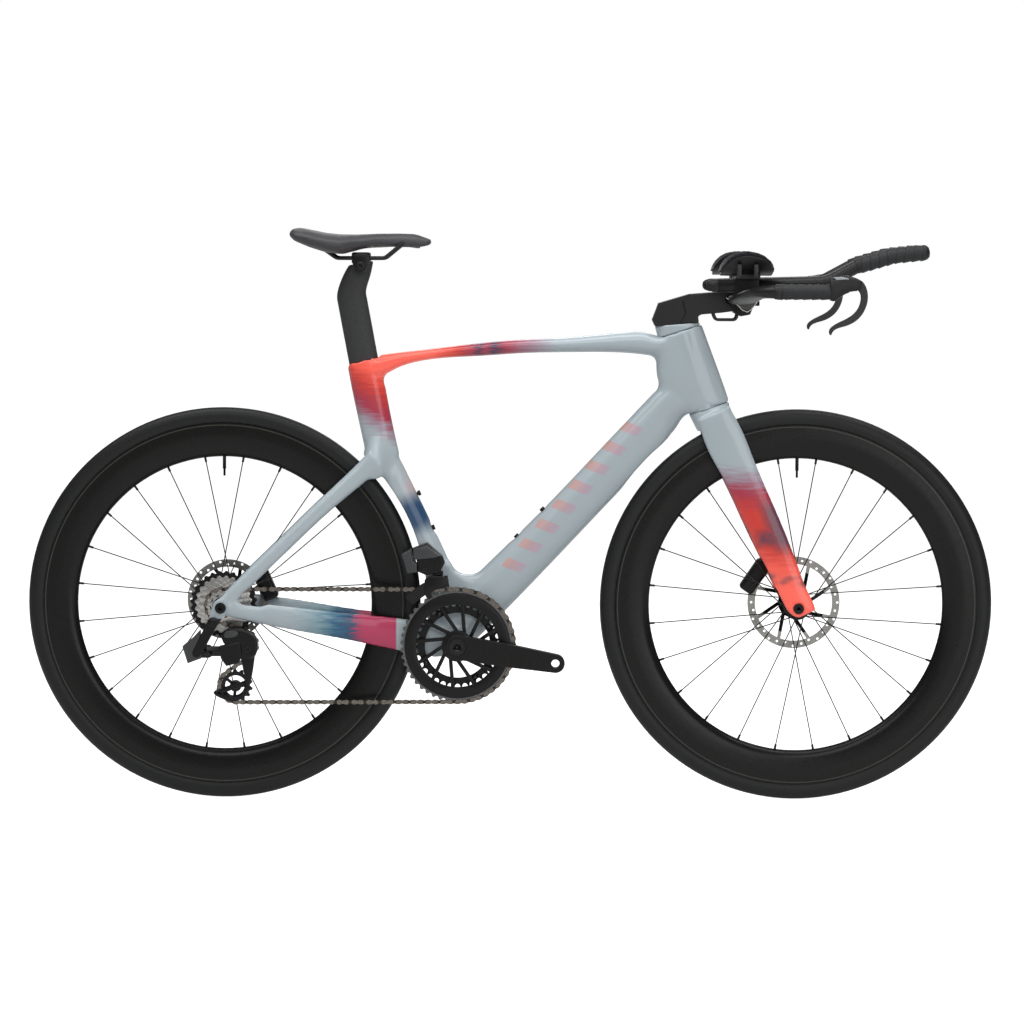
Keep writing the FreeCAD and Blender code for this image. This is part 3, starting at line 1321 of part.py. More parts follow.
def link_room():
    """Space in the knuckle's fork that the link's round end turns in."""
    half = MECH_LINK_WIDTH / 2 + SLIDE_CLEARANCE
    room = ring_y(ZERO, MECH_LINK_R + SEAM_GAP, MECH_PIN_R, -half, half)
    return slanted(room, knuckle_pivot())


def rear_mech_cage(angle):
    """Two plates astride the pulleys, their bolts and the pivot stub."""
    guide = guide_centre()
    tension = tension_centre(angle)
    outer_low, outer_high = cage_faces()
    inner_low = -2 * CHAIN_LINE - outer_high
    inner_high = -2 * CHAIN_LINE - outer_low
    pivot = cage_pivot()
    pieces = [
        link_plate(guide, CAGE_END_R, tension, CAGE_END_R, outer_low, outer_high),
        link_plate(pivot, CAGE_END_R, guide, CAGE_END_R, outer_low, outer_high),
        link_plate(pivot, CAGE_END_R, tension, CAGE_PIVOT_R, outer_low, outer_high),
        link_plate(guide, CAGE_END_R, tension, CAGE_END_R, inner_low, inner_high),
        bar_y(pivot, CAGE_PIVOT_R, outer_low - MECH_BODY_WIDTH, outer_high),
    ]
    for spot in (guide, tension):
        pieces.append(bar_y(spot, PULLEY_BOLT_R, outer_low, inner_high))
    return one_solid(fuse(pieces))


def pulley(centre, teeth, phase):
    low = -CHAIN_LINE - PULLEY_THICKNESS / 2
    bore = PULLEY_BOLT_R + RUN_CLEARANCE
    return one_solid(sprocket(centre, teeth, phase, bore, low, low + PULLEY_THICKNESS))


def sector(inner, outer, start, end, low, high):
    """Part of a ring about the bottom bracket between two angles and two sideways places."""
    base = V(BB.x, low, BB.z)
    a = math.radians(start)
    b = math.radians(end)
    middle = (a + b) / 2
    edges = [
        Part.Arc(polar(base, outer, a), polar(base, outer, middle), polar(base, outer, b)).toShape(),
        line(polar(base, outer, b), polar(base, inner, b)),
        Part.Arc(polar(base, inner, b), polar(base, inner, middle), polar(base, inner, a)).toShape(),
        line(polar(base, inner, a), polar(base, outer, a)),
    ]
    return Part.Face(Part.Wire(edges)).extrude(Y_DIR * (high - low))


def fd_cage_pivot():
    return BB + V(-FD_BACK, -CHAIN_LINE, FD_RISE)


def fd_body_pivot():
    lean = math.radians(FD_LINK_ANGLE)
    return fd_cage_pivot() + V(0, FD_LINK_LENGTH * math.sin(lean), FD_LINK_LENGTH * math.cos(lean))


def fd_pin(centre, radius, low, high):
    """Round bar along X through a pivot, between two places counted from it."""
    return rod(centre + X_DIR * low, centre + X_DIR * high, radius)


def front_mech_link():
    top = fd_body_pivot()
    foot = fd_cage_pivot()
    half = FD_LINK_WIDTH / 2
    plate = link_plate(V(top.y, 0, top.z), FD_LINK_R, V(foot.y, 0, foot.z), FD_LINK_R, -half, half)
    plate.rotate(ZERO, Z_DIR, 90)
    plate.translate(X_DIR * top.x)
    for spot in (top, foot):
        plate = plate.cut(fd_pin(spot, FD_PIN_R + RUN_CLEARANCE, -half - OVERRUN, half + OVERRUN))
    return plate


def fd_ears(pivot, rise):
    """Pair of ears astride the link at a pivot, drawn up or down to what carries them, with the pin."""
    inner = FD_LINK_WIDTH / 2 + SLIDE_CLEARANCE
    outer = inner + FD_EAR
    pieces = [fd_pin(pivot, FD_PIN_R, -outer, outer)]
    for low in (-outer, inner):
        pieces.append(fd_pin(pivot, FD_LINK_R, low, low + FD_EAR))
        web = Part.makeBox(FD_EAR, 2 * FD_LINK_R, abs(rise))
        web.translate(pivot + V(low, -FD_LINK_R, min(rise, 0)))
        pieces.append(web)
    return pieces


def front_mech_cage():
    """Plates on both sides of the chain, bridged above it, hung from the link."""
    outer_r = FD_CAGE_R + FD_CAGE_DEPTH
    half = FD_CAGE_HALF
    pieces = []
    for side in (-1, 1):
        low = -CHAIN_LINE + (half if side > 0 else -half - FD_PLATE)
        pieces.append(sector(FD_CAGE_R, outer_r, FD_CAGE_START, FD_CAGE_END, low, low + FD_PLATE))
    low = -CHAIN_LINE - half
    pieces.append(sector(outer_r - FD_EAR, outer_r, FD_CAGE_START, FD_BRIDGE_END, low, low + 2 * half))
    pieces.append(sector(FD_CAGE_R, FD_CAGE_R + FD_EAR, FD_TAIL_START, FD_CAGE_END, low, low + 2 * half))
    pivot = fd_cage_pivot()
    gap = FD_LINK_WIDTH / 2 + SLIDE_CLEARANCE
    room = fd_pin(pivot, FD_LINK_R + SEAM_GAP, -gap, gap)
    solid = fuse(pieces).cut(room)
    return one_solid(fuse([solid] + fd_ears(pivot, -FD_EAR - FD_LINK_R)))


def front_mech_body(host):
    """Motor block on the side of the seat tube, with ears for the link."""
    pivot = fd_body_pivot()
    floor = FD_LINK_R + SEAM_GAP
    centre = pivot + V(0, FD_BODY_WIDTH / 2 - 2 * FD_LINK_R, floor + FD_BODY_HEIGHT / 2)
    box = block(centre, FD_BODY_LENGTH, FD_BODY_WIDTH, FD_BODY_HEIGHT, BATTERY_ROUND)
    solid = fuse([box] + fd_ears(pivot, floor + BATTERY_ROUND))
    return max(solid.cut(host).Solids, key=lambda s: s.Volume)


def front_mech_battery(host):
    pivot = fd_body_pivot()
    back = (FD_BODY_LENGTH + FD_BATTERY_LENGTH) / 2
    centre = pivot + V(-back, 0, FD_LINK_R + SEAM_GAP + FD_BATTERY_HEIGHT / 2)
    box = block(centre, FD_BATTERY_LENGTH, FD_BATTERY_WIDTH, FD_BATTERY_HEIGHT, BATTERY_ROUND)
    return max(box.cut(host).Solids, key=lambda s: s.Volume)


def fork_spread():
    return FRONT_HUB_WIDTH / 2 + FORK_TIP_WIDTH / 2


def fork():
    """Steerer, crown and two deep legs down to the axle tips."""
    low = HEAD_LOW - STEER_UP * SEAM_GAP
    steerer = rod(low - STEER_UP * OVERRUN, HEAD_TOP + STEER_UP * STEERER_TOP, STEERER_R)
    race = rod(low - STEER_UP * OVERRUN, HEAD_LOW + STEER_UP * CROWN_RACE_HEIGHT, CROWN_RACE_R)
    rings = []
    for along, offset, deep, wide in FORK_CROWN_SHARES:
        centre = low - STEER_UP * (along * FORK_CROWN_HEIGHT) + STEER_FORE * (offset * FORK_CROWN_DEPTH)
        rings.append(section(centre, STEER_FORE, Y_DIR, deep * FORK_CROWN_DEPTH, wide * FORK_CROWN_WIDTH))
    solids = [loft(rings), steerer, race]
    half = FRONT_HUB_WIDTH / 2
    for side in (-1, 1):
        leg = stay(HEAD_LOW, FRONT_AXLE, FORK_DEPTH, FORK_LEG_WIDTH, fork_spread(), side, FORK_SHARES)
        solids.append(leg)
        inner = side * half
        outer = side * (half + FORK_TIP_WIDTH)
        solids.append(bar_y(FRONT_AXLE, FORK_TIP_R, min(inner, outer), max(inner, outer)))
    body = fuse(solids)
    cuts = [
        bar_y(FRONT_AXLE, TYRE_R + FORK_WHEEL_GAP, -WHEEL_CUT_HALF, WHEEL_CUT_HALF),
        bar_y(FRONT_AXLE, FORK_TIP_R + OVERRUN, -half, half),
        bar_y(FRONT_AXLE, AXLE_R, -half - FORK_TIP_WIDTH - OVERRUN, half + FORK_TIP_WIDTH + OVERRUN),
    ]
    for tool in cuts:
        body = body.cut(tool)
    return max(body.Solids, key=lambda solid: solid.Volume)


def seatpost():
    """Deep oval post, straight in the frame, then bent forward to the saddle clamp."""
    post = loft([post_section(-POST_INSERTION), post_section(POST_HEAD_SHARES[0][0] * POST_HEAD_RISE)])
    rings = []
    for rise, lead, deep in POST_HEAD_SHARES:
        centre = SEAT_TOP + SEAT_UP * (rise * POST_HEAD_RISE) + SEAT_FORE * (lead * POST_HEAD_LEAD)
        rings.append(section(centre, SEAT_FORE, Y_DIR, deep * POST_DEPTH, POST_WIDTH, POST_POWER))
    return one_solid(post.fuse(loft(rings)).removeSplitter())


def post_head():
    return SEAT_TOP + SEAT_UP * POST_HEAD_RISE + SEAT_FORE * POST_HEAD_LEAD


def saddle_clamp(post):
    """Clamp block on the post's head, grooved for the rails."""
    centre = V(post_head().x, 0, RAIL_Z)
    body = block(centre, CLAMP_LENGTH, CLAMP_WIDTH, CLAMP_HEIGHT, RAIL_R)
    reach = X_DIR * CLAMP_LENGTH
    for side in (-1, 1):
        spot = centre + Y_DIR * (side * RAIL_SPREAD)
        body = body.cut(rod(spot - reach, spot + reach, RAIL_R + SLIDE_CLEARANCE))
    return max(body.cut(post).Solids, key=lambda solid: solid.Volume)


def between(shares, place):
    """Value at a place along a table of (place, value) shares."""
    for (a, low), (b, high) in zip(shares, shares[1:]):
        if place <= b:
            return low + (high - low) * (place - a) / (b - a)
    return shares[-1][1]


def saddle_body(top_drop, depth, depth_shares, width_share):
    """Saddle-shaped solid: one oval section at each place of the plan outline."""
    tail = BB.x - SADDLE_BACK
    rings = []
    for along, wide in SADDLE_PLAN_SHARES:
        top = SADDLE_TOP - SADDLE_RISE * (1 - between(SADDLE_TOP_SHARES, along)) - top_drop
        deep = depth * between(depth_shares, along)
        centre = V(tail + along * SADDLE_LENGTH, 0, top - deep / 2)
        rings.append(section(centre, Y_DIR, Z_DIR, wide * SADDLE_WIDTH * width_share, deep, SADDLE_POWER))
    return loft(rings)


def saddle_cover():
    return saddle_body(0.0, SADDLE_COVER_DEPTH, COVER_DEPTH_SHARES, 1.0)


def saddle_shell(cover):
    body = saddle_body(SADDLE_COVER_DEPTH / 2, SADDLE_SHELL_DEPTH, SHELL_DEPTH_SHARES, SHELL_WIDTH_SHARE)
    return max(body.cut(cover).Solids, key=lambda solid: solid.Volume)


def saddle_rails(shell):
    """Pair of bent rails, sprung into the shell at both ends."""
    x = post_head().x
    route = []
    for lead, rise in RAIL_SHARES:
        route.append(V(x + lead * SADDLE_LENGTH, RAIL_SPREAD, RAIL_Z + rise * RAIL_RISE))
    rail = pipe(bent_route(route, RAIL_BEND_R), RAIL_R)
    rails = []
    for solid in (rail, mirror(rail)):
        rails.append(max(solid.cut(shell).Solids, key=lambda s: s.Volume))
    return Part.makeCompound(rails)


def stem_point(along, rise):
    return HEAD_TOP + V(along * STEM_LENGTH, 0, rise * STEM_TOP)


def stem(bar, steerer):
    """Stem from the steerer clamp forward to the base bar."""
    body = prism([stem_point(x, z) for x, z in STEM_SHARES], STEM_WIDTH)
    clamp = rod(stem_clamp_foot(), HEAD_TOP + STEER_UP * STEM_CLAMP_HEIGHT, STEM_CLAMP_R)
    whole = body.fuse(clamp)
    return max(whole.cut(bar).cut(steerer).Solids, key=lambda solid: solid.Volume)


def stem_clamp_foot():
    return HEAD_TOP + STEER_UP * (STEM_TOP * STEM_SHARES[1][1] + STEM_CLAMP_R * math.cos(HEAD_RAD))


def stem_cover(inner, steerer):
    """Black wedge behind the stem that closes over the steerer clamp."""
    body = prism([stem_point(x, z) for x, z in STEM_COVER_SHARES], STEM_WIDTH)
    return max(body.cut(inner).cut(steerer).Solids, key=lambda solid: solid.Volume)


def headset_cover(steerer, others):
    """Wedge between the head tube's top seam and the stem, round enough to turn in the frame's bowl."""
    foot = HEAD_TOP + STEER_UP * SEAM_GAP
    rear = stem_point(*STEM_COVER_SHARES[0])
    front = stem_point(*STEM_SHARES[1])
    outline = [foot - STEER_FORE * HEAD_COVER_BACK, foot + STEER_FORE * HEAD_COVER_FRONT, front, rear]
    side = prism(outline, HEAD_COVER_WIDTH)
    depth = HEAD_COVER_BACK + HEAD_COVER_FRONT
    centre = foot + STEER_FORE * ((HEAD_COVER_FRONT - HEAD_COVER_BACK) / 2) - STEER_UP * OVERRUN
    plan = Part.Face(section(centre, STEER_FORE, Y_DIR, depth, HEAD_COVER_WIDTH)).extrude(STEER_UP * STEM_TOP)
    body = plan.common(side).cut(steerer)
    for tool in others:
        body = body.cut(tool)
    return max(body.Solids, key=lambda solid: solid.Volume)


def bar_centre_line():
    points = []
    for out, ahead, rise, _ in BAR_SWEEP_SHARES:
        x = BAR_CENTRE_X + ahead * (BAR_GRIP_START - BAR_CENTRE_X)
        z = BAR_CENTRE_Z + rise * (BAR_Z - BAR_CENTRE_Z)
        points.append(V(x, out * BAR_WIDTH / 2, z))
    return points


def base_bar():
    """Wing-section bar that sweeps forward and ends just inside two straight horns."""
    left = bar_centre_line()
    points = [V(p.x, -p.y, p.z) for p in reversed(left[1:])] + left
    wings = [row[3] for row in BAR_SWEEP_SHARES]
    wings = list(reversed(wings[1:])) + wings
    end = 2 * (BAR_TUBE_R - SLIDE_CLEARANCE)
    rings = []
    for i, centre in enumerate(points):
        wing = wings[i]
        if wing > 0:
            heading = (points[i + 1] - points[i - 1]).normalize()
        else:
            heading = X_DIR * math.copysign(1.0, centre.y)
        chordwise = heading.cross(Z_DIR).normalize()
        chord = wing * BAR_CHORD + (1 - wing) * end
        thick = wing * BAR_WING_THICKNESS + (1 - wing) * end
        rings.append(section(centre, chordwise, chordwise.cross(heading), chord, thick, ROUND_POWER))
    horn = rod(left[-1], left[-1] + X_DIR * GRIP_LENGTH, BAR_TUBE_R)
    return one_solid(fuse([loft(rings), horn, mirror(horn)]))


def grip_tape():
    start = bar_centre_line()[-1]
    end = start + X_DIR * TAPE_LENGTH
    wrap = rod(start, end, BAR_TUBE_R + TAPE_THICKNESS)
    return wrap.cut(rod(start - X_DIR * OVERRUN, end + X_DIR * OVERRUN, BAR_TUBE_R + RUN_CLEARANCE))


def lever_start():
    return bar_centre_line()[-1] + X_DIR * TAPE_LENGTH


def lever_pivot():
    return lever_start() + V(LEVER_BODY_LENGTH - LEVER_PIVOT_BACK, 0, LEVER_PIVOT_RISE)


def lever_body():
    """Housing on the end of the horn, slotted for the lever, with its pivot pin."""
    rings = []
    for along, rise, high, wide in LEVER_BODY_SHARES:
        centre = lever_start() + V(along * LEVER_BODY_LENGTH, 0, rise * LEVER_BODY_HEIGHT)
        rings.append(section(centre, Z_DIR, Y_DIR, high * LEVER_BODY_HEIGHT, wide * LEVER_BODY_WIDTH))
    body = loft(rings)
    pivot = lever_pivot()
    gap = LEVER_WIDTH + 2 * SLIDE_CLEARANCE
    slot = Part.makeBox(LEVER_BODY_LENGTH, gap, 2 * LEVER_SLOT_DEPTH)
    slot.translate(pivot + V(-LEVER_SLOT_BACK, -gap / 2, -LEVER_SLOT_DEPTH))
    reach = Y_DIR * (gap / 2 + LEVER_PIN_R)
    pin = rod(pivot - reach, pivot + reach, LEVER_PIN_R)
    start = lever_start()
    end = bar_centre_line()[-1] + X_DIR * (GRIP_LENGTH + RUN_CLEARANCE)
    socket = rod(start - X_DIR * OVERRUN, end, BAR_TUBE_R + RUN_CLEARANCE)
    body = body.cut(socket).cut(slot)
    return one_solid(max(body.Solids, key=lambda solid: solid.Volume).fuse(pin))


def brake_lever():
    """Curved blade from the pivot round to the finger tip under the grip."""
    pivot = lever_pivot()
    outer = [pivot + V(x * LEVER_REACH, -LEVER_WIDTH / 2, z * LEVER_DROP) for x, z in LEVER_OUTER_SHARES]
    inner = [pivot + V(x * LEVER_REACH, -LEVER_WIDTH / 2, z * LEVER_DROP) for x, z in LEVER_INNER_SHARES]
    edges = [spline(outer), line(outer[-1], inner[0]), spline(inner), line(inner[-1], outer[0])]
    blade = Part.Face(Part.Wire(edges)).extrude(Y_DIR * LEVER_WIDTH)
    reach = Y_DIR * LEVER_WIDTH
    return one_solid(blade.cut(rod(pivot - reach, pivot + reach, LEVER_PIN_R + RUN_CLEARANCE)))


def ext_points():
    points = []
    for along, rise in EXT_SHARES:
        points.append(V(EXT_REAR_X + along * EXT_LENGTH, EXT_SPREAD, EXT_Z + rise * EXT_RISE))
    return points


def extension():
    return pipe(bent_route(ext_points(), EXT_BEND_R), EXT_R)


def extension_tape(rod_solid):
    """Wrapped grip on the raised end of an extension."""
    points = ext_points()
    ahead = (points[3] - points[2]).normalize()
    start = points[2] + ahead * (EXT_R + EXT_TAPE_THICKNESS)
    wrap = pipe(bent_route([start, points[3], points[4]], EXT_BEND_R), EXT_R + EXT_TAPE_THICKNESS)
    return one_solid(wrap.cut(rod_solid))


def ext_clamp(bar, rod_solid):
    """Block that clamps an extension on top of the base bar, with the arm rest's bracket."""
    x = EXT_REAR_X + EXT_CLAMP_SHARE * EXT_LENGTH
    top = EXT_Z + EXT_R + REST_WALL
    centre = V(x, EXT_SPREAD, top - EXT_CLAMP_HEIGHT / 2)
    box = block(centre, EXT_CLAMP_LENGTH, EXT_CLAMP_WIDTH, EXT_CLAMP_HEIGHT, REST_WALL)
    rise = REST_BRACKET_HEIGHT + REST_WALL
    bracket = Part.makeBox(EXT_CLAMP_LENGTH - 2 * REST_WALL, REST_SPREAD - EXT_SPREAD + EXT_CLAMP_WIDTH, rise)
    corner = V(x - EXT_CLAMP_LENGTH / 2, EXT_SPREAD - EXT_CLAMP_WIDTH / 2, top)
    bracket.translate(corner + V(REST_WALL, REST_WALL, -REST_WALL))
    whole = box.fuse(bracket).cut(rest_barrel(REST_R)).cut(bar).cut(rod_solid)
    return max(whole.Solids, key=lambda solid: solid.Volume)


def rest_floor():
    return EXT_Z + EXT_R + REST_WALL + REST_BRACKET_HEIGHT - REST_WALL


def rest_middle():
    return EXT_REAR_X + REST_X_SHARE * EXT_LENGTH


def rest_barrel(radius):
    """Round bar along X that shapes the trough of an arm rest."""
    axis = V(rest_middle() - REST_LENGTH, REST_SPREAD, rest_floor() + REST_R)
    return rod(axis, axis + X_DIR * (2 * REST_LENGTH), radius)


def rest_arch(margin):
    """Side outline of an arm rest, drawn through the full width of the trough."""
    base = V(rest_middle() - REST_LENGTH / 2 - margin, 0, rest_floor())
    points = []
    for along, rise in REST_ARCH_SHARES:
        points.append(base + V(along * (REST_LENGTH + 2 * margin), 0, rise * (REST_HEIGHT + margin)))
    face = Part.Face(Part.Wire([spline(points), line(points[-1], points[0])]))
    return face.extrude(Y_DIR * (REST_SPREAD + 2 * REST_R))


def arm_rest():
    shell = rest_barrel(REST_R).cut(rest_barrel(REST_R - REST_WALL))
    return one_solid(shell.common(rest_arch(0.0)))


def arm_pad():
    outer = REST_R - REST_WALL
    shell = rest_barrel(outer).cut(rest_barrel(outer - REST_PAD))
    return max(shell.common(rest_arch(REST_PAD_MARGIN)).Solids, key=lambda solid: solid.Volume)


def brake_hose(bar, neck):
    """Hose that drops out of the stem's underside and turns up into the base bar."""
    start = stem_point(HOSE_START_SHARE, STEM_SHARES[4][1])
    foot = start.z - HOSE_DROP
    x = [start.x, start.x + HOSE_BEND_R, BAR_CENTRE_X - HOSE_BEND_R, BAR_CENTRE_X]
    z = [start.z + HOSE_SINK, foot, foot, BAR_CENTRE_Z]
    hose = pipe(bent_route([V(a, HOSE_SPREAD, b) for a, b in zip(x, z)], HOSE_BEND_R), HOSE_R)
    return max(hose.cut(bar).cut(neck).Solids, key=lambda solid: solid.Volume)


def moved(shape, place):
    shape.translate(place)
    return shape


def build():
    """Every piece by its name."""
    parts = {}
    angle, rollers = fitted_chain()
    print("chain links", len(rollers), "cage angle", round(math.degrees(angle), 2))
    print("tension pulley", tension_centre(angle))
    ring_phase = tooth_phase(rollers, BB, OUTER_TEETH)
    cog_phase = tooth_phase(rollers, REAR_AXLE, COG_TEETH[CHAIN_COG])
    tension_phase = tooth_phase(rollers, tension_centre(angle), TENSION_TEETH)
    guide_phase = tooth_phase(rollers, guide_centre(), GUIDE_TEETH)

    parts["bottle_bolts"] = bottle_bolts()
    parts["frame"] = frame(parts["bottle_bolts"])
    parts["headset_bearings"] = headset_bearings()
    parts["bottom_bracket"] = bottom_bracket()
    parts["rear_axle"] = rear_axle()
    parts["derailleur_hanger"] = derailleur_hanger()
    parts["chain"] = chain(rollers)
    parts["fork"] = fork()
    parts["front_axle"] = front_axle()

    front_rotor = FRONT_HUB_WIDTH / 2 - FRONT_ROTOR_INSET
    rear_rotor = REAR_HUB_WIDTH / 2 - REAR_ROTOR_INSET
    wheels = (
        ("front", FRONT_AXLE, FRONT_FLANGE_LEFT, FRONT_FLANGE_RIGHT, front_hub, FRONT_ROTOR_R, front_rotor),
        ("rear", REAR_AXLE, REAR_FLANGE_LEFT, REAR_FLANGE_RIGHT, rear_hub, REAR_ROTOR_R, rear_rotor),
    )
    for name, axle, left, right, hub, rotor_r, place in wheels:
        spokes, hub_holes, rim_holes = lacing(left, right)
        parts[name + "_rim"] = moved(rim(rim_holes), axle)
        parts[name + "_tyre"] = moved(tyre(), axle)
        parts[name + "_valve"] = moved(valve(), axle)
        parts[name + "_hub"] = moved(hub(hub_holes), axle)
        parts[name + "_spokes"] = moved(Part.makeCompound(spokes), axle)
        parts[name + "_rotor"] = moved(rotor(rotor_r, place), axle)
    host = parts["fork"]
    parts["front_caliper"] = caliper(FRONT_AXLE, FRONT_ROTOR_R, front_rotor, FRONT_CALIPER_ANGLE, host)
    host = parts["frame"]
    parts["rear_caliper"] = caliper(REAR_AXLE, REAR_ROTOR_R, rear_rotor, REAR_CALIPER_ANGLE, host)

    parts["crank_spindle"] = crank_spindle()
    parts["crank_arm_right"] = crank_arm(-1)
    parts["crank_arm_left"] = crank_arm(1)
    parts["chainring_bolts"] = chainring_bolts()
    parts["chainring_outer"] = chainring_outer(ring_phase, parts["chainring_bolts"])
    parts["chainring_inner"] = chainring_inner(ring_phase, parts["chainring_bolts"])
    parts["cassette_cogs"] = cassette_cogs(cog_phase)
    parts["freehub_body"] = freehub_body()

    parts["rear_mech_base"] = rear_mech_base()
    parts["rear_mech_battery"] = rear_mech_battery(parts["rear_mech_base"])
    parts["rear_mech_link"] = rear_mech_link()
    parts["rear_mech_knuckle"] = rear_mech_knuckle()
    parts["rear_mech_cage"] = rear_mech_cage(angle)
    parts["guide_pulley"] = pulley(guide_centre(), GUIDE_TEETH, guide_phase)
    parts["tension_pulley"] = pulley(tension_centre(angle), TENSION_TEETH, tension_phase)
    parts["front_mech_link"] = front_mech_link()
    parts["front_mech_cage"] = front_mech_cage()
    parts["front_mech_body"] = front_mech_body(parts["frame"])
    parts["front_mech_battery"] = front_mech_battery(parts["frame"].fuse(parts["front_mech_body"]))

    parts["seatpost"] = seatpost()
    parts["saddle_clamp"] = saddle_clamp(parts["seatpost"])
    parts["saddle_cover"] = saddle_cover()
    parts["saddle_shell"] = saddle_shell(parts["saddle_cover"])
    parts["saddle_rails"] = saddle_rails(parts["saddle_shell"])

    bar = base_bar()
    parts["base_bar"] = bar
    parts["stem"] = stem(bar, parts["fork"])
    parts["stem_cover"] = stem_cover(parts["stem"], parts["fork"])
    parts["headset_cover"] = headset_cover(parts["fork"], [parts["stem"], parts["stem_cover"]])
    rod_solid = extension()
    parts["extensions"] = both_sides(rod_solid)
    parts["bar_tape"] = Part.makeCompound([both_sides(grip_tape()), both_sides(extension_tape(rod_solid))])
    parts["extension_clamps"] = both_sides(ext_clamp(bar, rod_solid))
    parts["arm_rests"] = both_sides(arm_rest())
    parts["arm_pads"] = both_sides(arm_pad())
    parts["lever_bodies"] = both_sides(lever_body())
    parts["brake_lever_left"] = brake_lever()
    parts["brake_lever_right"] = mirror(parts["brake_lever_left"])
    parts["brake_hoses"] = both_sides(brake_hose(bar, parts["stem"]))
    return parts


def main():
    os.makedirs("parts", exist_ok=True)
    for name, shape in build().items():
        shape.exportStep("parts/" + name + ".step")
        print(name, len(shape.Solids), round(shape.Volume), shape.isValid())


main()
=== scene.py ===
import json
import math
import bpy
import bmesh
import numpy as np
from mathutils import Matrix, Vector
from mathutils.bvhtree import BVHTree


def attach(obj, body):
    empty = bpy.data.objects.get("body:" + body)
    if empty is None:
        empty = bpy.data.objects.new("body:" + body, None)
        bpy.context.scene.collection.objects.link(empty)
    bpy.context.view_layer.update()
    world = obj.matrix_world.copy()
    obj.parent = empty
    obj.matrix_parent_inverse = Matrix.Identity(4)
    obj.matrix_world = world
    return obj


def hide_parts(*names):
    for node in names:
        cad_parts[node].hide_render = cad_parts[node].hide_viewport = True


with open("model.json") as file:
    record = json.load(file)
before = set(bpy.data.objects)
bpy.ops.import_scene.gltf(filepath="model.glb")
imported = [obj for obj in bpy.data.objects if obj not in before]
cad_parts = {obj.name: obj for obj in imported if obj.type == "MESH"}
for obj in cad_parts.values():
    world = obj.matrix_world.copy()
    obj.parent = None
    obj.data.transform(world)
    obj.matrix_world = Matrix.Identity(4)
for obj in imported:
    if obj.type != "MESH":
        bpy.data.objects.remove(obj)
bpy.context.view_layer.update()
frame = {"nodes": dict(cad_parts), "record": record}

record = frame["record"]
bodyOf = {name: body for body, names in record["behaviour"]["bodies"].items() for name in names}
scene = bpy.context.scene
scene.view_settings.view_transform = "Standard"
print("frame loaded:", len(frame["nodes"]), "nodes")


def linear(hexText):
    out = []
    for i in (1, 3, 5):
        c = int(hexText[i:i + 2], 16) / 255
        out.append(c / 12.92 if c <= 0.04045 else ((c + 0.055) / 1.055) ** 2.4)
    return (*out, 1.0)


def add(tree, kind, inputs=None, stops=None, **settings):
    made = tree.nodes.new(kind)
    for name, value in settings.items():
        setattr(made, name, value)
    for key, value in (inputs or {}).items():
        if isinstance(value, bpy.types.Node):
            value = value.outputs[0]
        if isinstance(value, bpy.types.NodeSocket):
            tree.links.new(value, made.inputs[key])
        else:
            made.inputs[key].default_value = value
    for i, (at, hexText) in enumerate(stops or []):  # colour stops of a ramp
        bar = made.color_ramp.elements
        item = bar[i] if i < len(bar) else bar.new(at)
        item.position = at
        item.color = linear(hexText)
    return made


def newFinish(name, **shader):
    mat = bpy.data.materials.new(name)
    mat.use_nodes = True
    tree = mat.node_tree
    bsdf = tree.nodes["Principled BSDF"]
    for key, value in shader.items():
        bsdf.inputs[key.replace("_", " ")].default_value = value
    spot = add(tree, "ShaderNodeTexCoord").outputs["Object"]
    return mat, tree, bsdf, spot


def grained(name, grainMm, hexes, rough, bumpMm, stretch=(1, 1, 1), **shader):
    # one grain of a real size gives the tone, the roughness and a fine relief
    mat, tree, bsdf, spot = newFinish(name, **shader)
    spread = add(tree, "ShaderNodeMapping", {"Vector": spot, "Scale": stretch})
    grain = add(tree, "ShaderNodeTexNoise", {"Vector": spread, "Scale": 1000 / grainMm, "Detail": 3.0})
    tone = add(tree, "ShaderNodeValToRGB", {"Fac": grain}, [(0.35, hexes[0]), (0.65, hexes[1])])
    dull = add(tree, "ShaderNodeMapRange", {"Value": grain, "To Min": rough[0], "To Max": rough[1]})
    relief = add(tree, "ShaderNodeBump", {"Height": grain, "Distance": bumpMm / 1000, "Strength": 0.6})
    tree.links.new(tone.outputs[0], bsdf.inputs["Base Color"])
    tree.links.new(dull.outputs[0], bsdf.inputs["Roughness"])
    tree.links.new(relief.outputs[0], bsdf.inputs["Normal"])
    return mat


